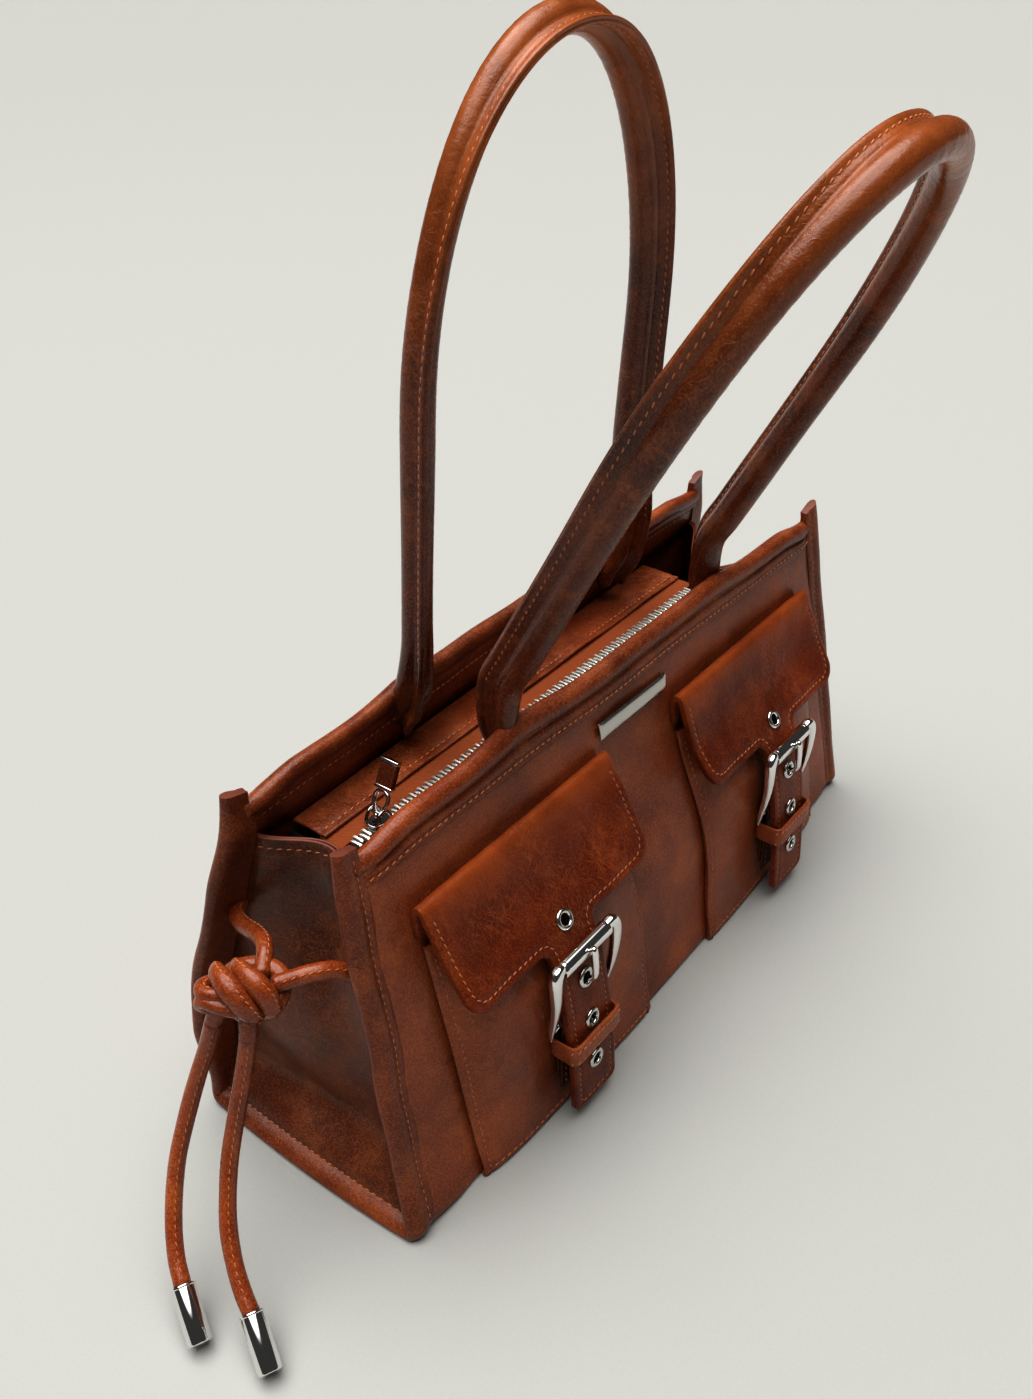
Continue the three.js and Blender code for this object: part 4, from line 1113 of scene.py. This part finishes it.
# ---- Handles ------------------------------------------------------------------------------------

# leg is the straight part's length and sway how far the top leans along x. out and along move the whole
# loop from its place in the CAD, and pinch moves its right leg in.
HANDLES = {
    "front": dict(side=-1, lean=math.radians(30), leg=99.0, sway=-8.0, out=2.6, along=3.0, pinch=0.0),
    "back": dict(side=1, lean=math.radians(4.5), leg=95.0, sway=5.0, out=0.0, along=0.0, pinch=6.0),
}
SEAM_TURN = math.radians(38)


def handle_line(side, lean, leg, sway, out, along, pinch):
    up = np.array([0.0, -math.sin(lean), math.cos(lean)])

    def at(x, rise):
        x = x - pinch * float(smooth(rise, 0, 45)) * max(x, 0) / HANDLE_HALF
        x = x + along + sway * rise / (leg + HANDLE_ARCH)
        return np.array([x, side * (HANDLE_OFFSET + out), HINGE_HEIGHT]) + up * rise

    legs = [9, 22, *np.linspace(36, leg, 6)[:-1]]
    arch = [(-HANDLE_HALF * math.cos(a), leg + HANDLE_ARCH * math.sin(a))
            for a in np.linspace(0, math.pi, 25)]
    foot = [np.array([HANDLE_HALF, side * y, z])
            for y, z in ((26.0, 134.5), (22.8, 141.0), (18.4 + out, 149.0))]
    shift = vec(along, 0, 0)
    left = [p * (-1, 1, 1) + shift for p in foot] + [at(-HANDLE_HALF, r) for r in legs]
    right = [at(HANDLE_HALF, r) for r in reversed(legs)] + [p + shift for p in foot[::-1]]
    return spline([*left, *[at(x, r) for x, r in arch], *right], 300), up


def handle_section(radius, flat, creases):
    """One ring: a round tube, then a flat two-layer seam that stands out of it."""
    start = math.asin(1.45 / radius)
    angle = np.linspace(start, 2 * math.pi - start, 30)
    swell = 1 - creases * (0.5 - 0.5 * np.cos(angle))
    tube_part = np.stack([np.cos(angle) * flat, np.sin(angle)], axis=1) * (radius * swell)[:, None]
    seam = [(0.5, -1.5), (1.3, -1.42), (2.0, -1.2), (2.6, -1.08), (3.2, -1.25), (4.0, -1.38), (4.8, -1.3),
            (5.25, -0.9), (5.2, -0.35), (4.8, 0.0)]
    lower = [(radius * flat + reach, across) for reach, across in seam]
    upper = [(reach, -across) for reach, across in reversed(lower[:-1])]
    return np.array([*tube_part, *lower, *upper])


def add_handle(label, handle):
    path, up = handle_line(**handle)
    side = handle["side"]
    along = unit(np.gradient(path, axis=0))
    upright = smooth(path[:, 2], 150, 175)[:, None]
    inward = unit(lerp(np.array([0.0, -side, 0.0]), np.cross((1.0, 0, 0), up) * side, upright))
    middle = path.mean(0)
    outward = np.cross(along, inward)
    outward *= np.sign((outward * (path - middle)).sum(1, keepdims=True))
    turn = SEAM_TURN * (along @ up) ** 2
    seam = inward * np.cos(turn)[:, None] + outward * np.sin(turn)[:, None]
    seam = unit(seam - along * (seam * along).sum(1, keepdims=True))
    across = np.cross(along, seam)
    travelled = np.linspace(0, path_length(path), len(path))
    bend = smooth(path[:, 2], HINGE_HEIGHT + 60, HINGE_HEIGHT + 130)
    wrinkle = 0.02 * bend * (0.5 + 0.5 * np.sin(travelled * 1.3 + 2 * np.sin(travelled * 0.21)))
    flat = lerp(0.5, 1.0, smooth(path[:, 2], 136, 176))
    radius = HANDLE_RADIUS * (1 + 0.03 * np.sin(travelled * 0.06 + side)) / np.sqrt(flat)
    sections = np.array([handle_section(r, f, w) for r, f, w in zip(radius, flat, wrinkle)])
    loop = rings(f"{label}_handle_leather", sweep(path, seam, across, sections), HANDLE_LEATHER, body=None)
    body = f"{label}_handle"
    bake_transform(loop)
    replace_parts(loop, f"{body}_loop", f"{body}_left_foot", f"{body}_right_foot")
    moving = path[:, 2] > HINGE_HEIGHT + 8
    for face, name in ((-1, "outer"), (1, "inner")):
        row = path + seam * (radius * flat + 2.6)[:, None] + across * (face * 1.12)
        stitches(f"{label}_handle_{name}_stitches", row[moving], (across * face)[moving], body=body,
                 pitch=3.1)


for handle_label, handle_facts in HANDLES.items():
    add_handle(handle_label, handle_facts)

# ---- Badge --------------------------------------------------------------------------------------


def add_badge():
    low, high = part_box("front_badge")
    half, z0, z1 = high.x / MM, low.z / MM, high.z / MM
    u, v = np.meshgrid(np.linspace(-1, 1, 60), np.linspace(-1, 1, 14), indexing="ij")
    x, z = u * half, lerp(z0, z1, (v + 1) / 2)
    crown = (1 - np.abs(v) ** 3) * (1 - np.abs(u) ** 24) * 0.7
    points = vec(x, -(half_depth(x, z) + 1.5 + crown), z)
    badge = shell("front_badge_metal", points, 1.2, (0, -1, 0), BADGE_METAL, 0.4, slot="polished_metal")
    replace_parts(badge, "front_badge")


add_badge()

# ---- Pockets ------------------------------------------------------------------------------------

POCKET_LINE = np.array([(-57.8, 0), (-57.2, 11), (-56.5, 22), (-56.4, 34), (-56.4, 46), (-56, 56),
                        (-55.2, 66), (-52.6, 75), (-49.4, 83), (-43.6, 93), (-39.5, 103)])
POCKET_SEAM = 2.6  # from the sewn edge in to its stitches


def pocket_place(centre, across, z, out=0.0):
    """A point on a pocket's front. across runs from -1 to 1 between its sewn edges."""
    x = centre + across * POCKET_HALF
    edge = half_depth(x, z) + 2.9
    middle = -np.interp(z, POCKET_LINE[:, 1], POCKET_LINE[:, 0])
    front = edge + np.maximum(middle - edge, 0) * (1 - across**4)
    place = vec(x, -(front + out - tuck(x, z)), z)
    soft = ripple(place, 34, 0.55, 101) + ripple(place, 14, 0.12, 102)
    free = (1 - np.abs(across) ** 6) * smooth(np.abs(across * POCKET_HALF), 16, 24) * smooth(z, 0, 25)
    place[..., 1] -= soft * free
    return place


def add_pocket(centre, label):
    heights = np.concatenate([np.linspace(0.1, 4, 6), np.linspace(5.2, 102, 74)])
    a, z = np.meshgrid(np.linspace(-1, 1, 84), heights, indexing="ij")
    margin = (1 - np.abs(a)) * POCKET_HALF
    out = -0.4 * bump(margin - POCKET_SEAM, 0.9) - 0.5 * bump(margin, 0.8) - 0.3 * bump(z - 3.4, 0.9)
    points = pocket_place(centre, a, z, out)
    pocket = shell(f"{label}_pocket_leather", points, 1.9, (0, -1, 0), LEATHER, 0.6)
    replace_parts(pocket, f"{label}_pocket")
    heights = np.linspace(3, 98, 60)
    for sign, name in ENDS:
        row = pocket_place(centre, np.full(60, sign * (1 - POCKET_SEAM / POCKET_HALF)), heights, -0.25)
        stitches(f"{label}_pocket_{name}_stitches", row, (0, -1, 0.1))
    foot = pocket_place(centre, np.linspace(-0.93, 0.93, 60), np.full(60, 3.4), -0.2)
    stitches(f"{label}_pocket_foot_stitches", foot, (0, -1, 0))
    wall_z, wall_t = np.meshgrid(np.linspace(0.1, 101, 60), np.linspace(0, 1, 6), indexing="ij")
    for sign, name in ENDS:
        x = centre + sign * (POCKET_HALF - 1.4)
        y = -(half_depth(x, wall_z) + lerp(0.2, 2.0, wall_t))
        wall = vec(x - sign * 0.3 * np.sin(wall_t * 3.1), y, wall_z)
        shell(f"{label}_pocket_{name}_wall", wall, 1.0, (sign, 0, 0), INNER_LEATHER, 0.2)


# ---- Flaps and straps ---------------------------------------------------------------------------

FLAP_THICK = 2.4
FLAP_KNOTS = [(-45.5, 98.5), (-54.6, 83.5), (-59.2, 74), (-62.3, 63.5), (-65, 45), (-66.8, 26), (-67.6, 5.5)]
EYELET_HEIGHTS = (85.6, 63.5, 44.7, 25.0)
FLAP_LOW = 81.2
FLAP_CORNER = 8.0
FILLET = 4.5
STRAP_TIP = 3.5
FLAP_SEAM = 3.0  # from the outline in to its stitches
HOLE = 2.75  # the radius cut out of the leather under each eyelet
ROOT_PULL = 14.0  # the length over which the root turns to lie along the panel


class FlapLine:
    """The middle of a flap and its strap, seen from the end: out of the panel, over and down."""

    def __init__(self, centre):
        hinge = float(half_depth(centre, 117))
        over = [(-(half_depth(centre, z) + out), z) for z, out in ((107, 1.3), (112, 1.4), (116.2, 1.9))]
        turn = [(-(hinge + 3.4), 118.6), (-(hinge + 6.0), 116.2)]
        fine = spline([*over, *turn, *FLAP_KNOTS], 900)
        self.fine = fine
        steps = np.linalg.norm(np.diff(fine, axis=0), axis=1)
        self.travelled = np.concatenate([[0], np.cumsum(steps)])
        self.peak = int(np.argmax(fine[:, 1]))
        self.end = self.travelled[-1]

    def place(self, s):
        return [np.interp(s, self.travelled, self.fine[:, k]) for k in (0, 1)]

    def at(self, s):
        """The place at s along the line and the outward direction there: y, z, and the normal's."""
        y, z = self.place(s)
        (y0, z0), (y1, z1) = (self.place(np.clip(s + step, 0, self.end)) for step in (-0.8, 0.8))
        size = np.hypot(y1 - y0, z1 - z0)
        return y, z, (z1 - z0) / size, -(y1 - y0) / size

    def outward(self, s):
        _, _, ny, nz = self.at(s)
        return unit(vec(0, ny, nz))

    def reach(self, height):
        """How far along the line a height on its outer side lies."""
        z = self.fine[self.peak:, 1][::-1]
        return float(np.interp(height, z, self.travelled[self.peak:][::-1]))


def flap_width(line, s):
    """Half the width at s: the flap, its rounded corners, the fillets and the strap's tip."""
    low, end = line.reach(FLAP_LOW), line.end
    rise = np.clip(s - (low - FLAP_CORNER), 0, FLAP_CORNER)
    wide = FLAP_HALF - FLAP_CORNER + np.sqrt(FLAP_CORNER**2 - rise**2)
    down = np.clip(s - low, 0, FILLET)
    narrow = STRAP_HALF + FILLET - np.sqrt(FILLET**2 - (FILLET - down) ** 2)
    tip = np.clip(s - (end - STRAP_TIP), 0, STRAP_TIP)
    rounded = STRAP_HALF - STRAP_TIP + np.sqrt(STRAP_TIP**2 - tip**2)
    return wide, np.where(s > end - STRAP_TIP, rounded, narrow)


def flap_place(line, centre, across, s, out=0.0):
    """A point on the flap's outer face. across is in millimetres from the strap's middle."""
    y, z, ny, nz = line.at(s)
    x = centre + across
    root = smooth(s, ROOT_PULL, 2)
    skew = half_depth(x, 112) - half_depth(centre, 112)
    lift = FLAP_THICK / 2 + out
    place = vec(x, y - skew * root, z)
    on_flap = smooth(s, ROOT_PULL, 30) * smooth(np.abs(across), 16, 34)
    soft = ripple(place, 36, 0.7, 111) * on_flap + 1.1 * on_flap * smooth(np.abs(across), 30, 52)
    lift = lift + soft + ripple(place, 13, 0.1, 112)
    place[..., 1] += ny * lift
    place[..., 2] += nz * lift
    return place


def flap_mesh(line):
    """Rows from the root to the tip. Side columns stop at the flap's lower edge."""
    low = line.reach(FLAP_LOW)
    rounding = low - FLAP_CORNER + FLAP_CORNER * np.sin(np.linspace(0, math.pi / 2, 14))
    flap_rows = np.unique(np.concatenate([np.linspace(0, low - FLAP_CORNER, 46), rounding]))
    strap_rows = np.concatenate([low + FILLET * (1 - np.cos(np.linspace(0.25, math.pi / 2, 6))),
                                 np.linspace(low + FILLET + 1.2, line.end - STRAP_TIP, 58),
                                 line.end - STRAP_TIP + STRAP_TIP * np.sin(np.linspace(0.2, math.pi / 2, 7))])
    rows = np.concatenate([flap_rows, strap_rows])
    core, flank = 25, 28
    points, index = [], {}
    for i, s in enumerate(rows):
        wide, narrow = flap_width(line, np.array(s))
        on_flap = i < len(flap_rows)
        core_half = STRAP_HALF + FILLET if on_flap else float(narrow)
        columns = list(np.linspace(-core_half, core_half, core))
        if on_flap:
            side = np.linspace(core_half, float(wide), flank + 1)[1:]
            columns = [*(-side[::-1]), *columns, *side]
        first = 0 if on_flap else flank
        for j, across in enumerate(columns):
            index[(i, j + first)] = len(points)
            points.append((across, s))
    faces = []
    for i in range(len(rows) - 1):
        for j in range(core + 2 * flank - 1):
            ring = [(i, j), (i + 1, j), (i + 1, j + 1), (i, j + 1)]
            if all(key in index for key in ring):
                faces.append(tuple(index[key] for key in ring))
    points = np.array(points)
    middles = np.array([points[list(face)].mean(0) for face in faces])
    keep = np.ones(len(faces), bool)
    for height in EYELET_HEIGHTS:
        keep &= np.hypot(middles[:, 0], middles[:, 1] - line.reach(height)) > HOLE
    return points, [face for face, kept in zip(faces, keep) if kept]


def edge_distance(line, across, s):
    """Distance in from the flap's outline, for the groove that its stitches lie in."""
    path = flap_outline(line, 0.0)
    gap = np.full(np.shape(s), 1e9)
    for a, b in zip(path, path[1:]):
        d = b - a
        size = max(float(d @ d), 1e-9)
        t = np.clip(((across - a[0]) * d[0] + (s - a[1]) * d[1]) / size, 0, 1)
        gap = np.minimum(gap, np.hypot(across - a[0] - t * d[0], s - a[1] - t * d[1]))
    return gap


def flap_outline(line, inset):
    """The flap's outline from its root down one side, round the strap and up the other."""
    low, end = line.reach(FLAP_LOW), line.end
    wide, thin = FLAP_HALF - inset, STRAP_HALF - inset
    corner_radius, fillet, tip = FLAP_CORNER - inset * 0.4, FILLET + inset * 0.4, 3.0
    low, end = low - inset, end - inset
    side = [(wide, 15.0 + inset), (wide, low - corner_radius)]
    turn = [(wide - corner_radius * (1 - math.cos(a)), low - corner_radius * (1 - math.sin(a)))
            for a in np.linspace(0.2, math.pi / 2, 8)]
    inner = [(thin + fillet * (1 - math.sin(a)), low + fillet * (1 - math.cos(a)))
             for a in np.linspace(0, math.pi / 2, 7)]
    foot = [(thin, end - tip), (thin - 0.3 * tip, end - 0.3 * tip), (thin - tip, end)]
    return np.array(mirrored([*side, *turn, *inner, *foot]))


def add_flap(centre, label):
    line = FlapLine(centre)
    flat, faces = flap_mesh(line)
    across, s = flat[:, 0], flat[:, 1]
    gap = edge_distance(line, across, s)
    groove = (-0.42 * bump(gap - FLAP_SEAM, 0.8) - 0.35 * bump(gap, 0.7)) * smooth(s, ROOT_PULL, 20)
    points = flap_place(line, centre, across, s, groove)
    sheet = thicken(points, faces, line.outward(s), FLAP_THICK)
    flap = make(f"{label}_flap_leather", *sheet, TOP_LEATHER, body=None)
    round_edges(flap, 0.55)
    body = f"{label}_flap_body"
    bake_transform(flap)
    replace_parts(flap, f"{label}_flap")
    across, s = resample(flap_outline(line, FLAP_SEAM), 420).T
    row = flap_place(line, centre, across, s, -0.3)
    stitches(f"{label}_flap_stitches", row, line.outward(s), body=body, pitch=2.8)
    add_eyelets(line, centre, label, body)


EYELET_PROFILE = [(2.2, -1.6), (2.2, 1.6), (2.4, 2.05), (2.85, 2.3), (3.35, 2.25), (3.8, 1.95), (4.05, 1.5),
                  (3.9, 1.3), (3.4, 1.15), (2.9, 1.1), (2.7, 0.9), (2.6, -1.2), (3.6, -1.25), (3.6, -1.55),
                  (2.5, -1.7)]


def add_eyelets(line, centre, label, body):
    for number, height in enumerate(EYELET_HEIGHTS, 1):
        y, z, ny, nz = (float(v) for v in line.at(line.reach(height)))
        eyelet = lathe(f"{label}_eyelet_{number}_metal", EYELET_PROFILE, NICKEL, (centre, y, z),
                       (0, ny, nz), 40, body=body, slot="eyelet_metal")
        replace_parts(eyelet, f"{label}_eyelet_{number}")


# ---- Buckles, keepers and back straps -----------------------------------------------------------

HEEL_Y, HEEL_Z = -59.9, 47.0
BAR_Y, BAR_Z = -62.9, 77.0


def add_frame(centre, label):
    """One leg, over the top bar, and down the other leg, each drawn out to a point."""
    leg = [(15.6, -59.4, 41.5, 0.5, 0.5), (16.4, -60.6, 48, 1.0, 1.2), (17.0, -62.4, 56, 1.45, 1.5),
           (17.5, -63.6, 64, 1.9, 1.7), (17.9, -63.9, 71, 2.3, 1.9), (17.6, -63.7, 76, 2.5, 2.1),
           (15.8, -63.3, 78.6, 2.4, 2.2), (13.0, -62.95, 77.8, 1.9, 1.9), (10.0, BAR_Y, BAR_Z, 1.6, 1.6)]
    fine = spline(mirrored(leg), 140)
    path = fine[:, :3] * (-1, 1, 1) + (centre, 0, 0)
    along = unit(np.gradient(path, axis=0))
    front = np.array([0.0, -1.0, 0.1])
    up = unit(front - along * (along @ front)[:, None])
    across = np.cross(up, along)
    section = np.stack(squared(20, 0.72), axis=1) * fine[:, None, 3:]
    body = f"{label}_flap_body"
    buckle = rings(f"{label}_buckle_frame_metal", sweep(path, across, up, section), CHROME, body=body,
                   slot="polished_metal")
    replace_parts(buckle, f"{label}_buckle_frame")
    heel = vec(np.linspace(centre - 16.4, centre + 16.4, 6), HEEL_Y, HEEL_Z)
    tube(f"{label}_buckle_heel_bar", heel, 1.25, CHROME, 18, body=body, slot="polished_metal")


def add_roller(centre, label):
    end, r = 13.6, 3.0
    half = [(2.0, 0), (r - 0.4, 0), (r - 0.08, 0.3), (r, 0.7), (r, 1.8), (r - 0.14, 1.95), (r - 0.14, 2.15),
            (r, 2.3)]
    profile = [*[(a, b - end) for a, b in half], *[(a, end - b) for a, b in reversed(half)]]
    roller = lathe(f"{label}_buckle_roller_metal", profile, CHROME, (centre, BAR_Y, BAR_Z), (1, 0, 0), 56,
                   body=f"{label}_roller", slot="polished_metal", sharp=40)
    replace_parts(roller, f"{label}_buckle_roller")


def add_prong(centre, label):
    route = [(-59.6, 49.2), (-58.7, 52.5), (-58.1, 57), (-58.3, 61), (-60.2, 63), (-62.8, 63.6),
             (-65.4, 64.2), (-67.5, 66.8), (-67.7, 71.5), (-67.3, 77.5), (-66.9, 80.2)]
    path = spline([(centre, y, z) for y, z in route], 60)
    travelled = np.linspace(0, 1, 60)
    rounded = np.sqrt(np.clip((1.02 - travelled) / 0.06, 0.12, 1))
    radius = lerp(1.0, 1.45, smooth(travelled, 0.5, 0.85)) * rounded
    body = f"{label}_prong"
    prong = tube(f"{label}_buckle_prong_metal", path, radius, CHROME, 20, start=(1, 0, 0), body=body,
                 slot="polished_metal")
    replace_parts(prong, f"{label}_buckle_prong")
    eye = [(1.75, -1.5), (2.4, -1.5), (2.6, -1.2), (2.6, 1.2), (2.4, 1.5), (1.75, 1.5)]
    lathe(f"{label}_buckle_prong_eye", eye, CHROME, (centre, HEEL_Y, HEEL_Z), (1, 0, 0), 32, body=body,
          slot="polished_metal")


def add_back_strap(centre, label):
    """The strip behind the strap: round the heel bar, with a notch there for the prong."""
    half, thickness, notch_half, notch_low = 11.9, 1.1, 3.4, 41
    line = [(-59.3, 18), (-59.3, 30), (-59.3, 38), (-58.2, 43.5), (-57.75, 47), (-58.4, 48.6), (-59.9, 49.2),
            (-61.4, 48.6), (-62.05, 47), (-61.7, 43), (-60.85, 38), (-60.85, 26), (-60.85, 14)]
    fine = spline(line, 90)
    columns = np.linspace(-half, half, 19)
    points = vec(centre + columns, fine[:, :1], fine[:, 1:])
    points += ripple(points, 12, 0.08, 121)[..., None] * (0, 1, 0)
    along = np.gradient(fine, axis=0)
    normal = unit(vec(0, along[:, 1], -along[:, 0]))
    normals = np.repeat(normal[:, None], len(columns), axis=1)
    middles = {face: points.reshape(-1, 3)[list(face)].mean(0) for face in grid_faces(*points.shape[:2])}
    faces = [face for face, (mid_x, _, mid_z) in middles.items()
             if abs(mid_x - centre) >= notch_half or mid_z <= notch_low]
    body = f"{label}_flap_body"
    sheet = thicken(points + normals * thickness / 2, faces, normals, thickness)
    strap = round_edges(make(f"{label}_back_strap_leather", *sheet, INNER_LEATHER, body=body), 0.3)
    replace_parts(strap, f"{label}_back_strap")
    for sign, name in ENDS:
        row = vec(centre + sign * 9.6, -61.5, np.linspace(38, 15.5, 20))
        stitches(f"{label}_back_strap_stitches_{name}", row, (0, -1, 0), body=body)


def add_keeper(centre, label):
    """A loop of leather round both straps, fuller at its front."""
    half, inner, outer = 13.9, -57.3, -69.4
    x, y = squared(96, 0.32)
    x, y = x * half, y * (inner - outer) / 2 + (inner + outer) / 2
    front = smooth(-y, 62, 69)
    heights = np.linspace(32.6, 41.4, 12)
    outward = unit(np.column_stack([np.gradient(y), -np.gradient(x)]))
    wall = lerp(0.55, 0.75, front)
    crown = np.sin(np.linspace(0, math.pi, 12)) ** 0.5
    lifted = 1.2 * (1 - np.abs(x) / half) * front * 0.5

    def ring(height, reach, push):
        return np.column_stack([x + outward[:, 0] * wall * reach, y + outward[:, 1] * wall * reach - push,
                                height + lifted])

    outside = [ring(h, 0.55 + 0.45 * c, 0.25 * front * c) for h, c in zip(heights, crown)]
    inside = [ring(h, -1, 0) for h in heights[::-1]]
    points = np.array([*outside, *inside]) + (centre, 0, 0)
    body = f"{label}_flap_body"
    loop = rings(f"{label}_keeper_leather", points, LEATHER, closed=True, body=body)
    round_edges(loop, 0.3)
    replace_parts(loop, f"{label}_keeper")
    facing = front > 0.6
    for height, name in ((2, "lower"), (9, "upper")):
        row = (outside[height] + (centre, 0, 0))[facing]
        row = row[np.argsort(row[:, 0])] + (0, -0.02, 0)
        stitches(f"{label}_keeper_{name}_stitches", row, (0, -1, 0), body=body, pitch=2.7, length=1.8)


def add_snaps(centre, label):
    for name, radius, low, high, body in (("snap_cap", 4.5, -58.4, -57.75, f"{label}_flap_body"),
                                          ("snap_socket", 5.0, -57.4, -56.75, "bag")):
        half = (high - low) / 2
        profile = [(0, -half), (radius - 0.4, -half), (radius, -half + 0.25), (radius, half - 0.2),
                   (radius - 0.5, half), (0, half)]
        disc = turned(f"{label}_{name}_metal", profile, NICKEL, (centre, (low + high) / 2, 25.5),
                      (0, -1, 0), 40, body=body, slot="eyelet_metal", sharp=35)
        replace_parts(disc, f"{label}_{name}")


for pocket_sign, pocket_label in ENDS:
    for add_piece in (add_pocket, add_flap, add_frame, add_roller, add_prong, add_back_strap, add_keeper,
                      add_snaps):
        add_piece(pocket_sign * POCKET_CENTRE, pocket_label)
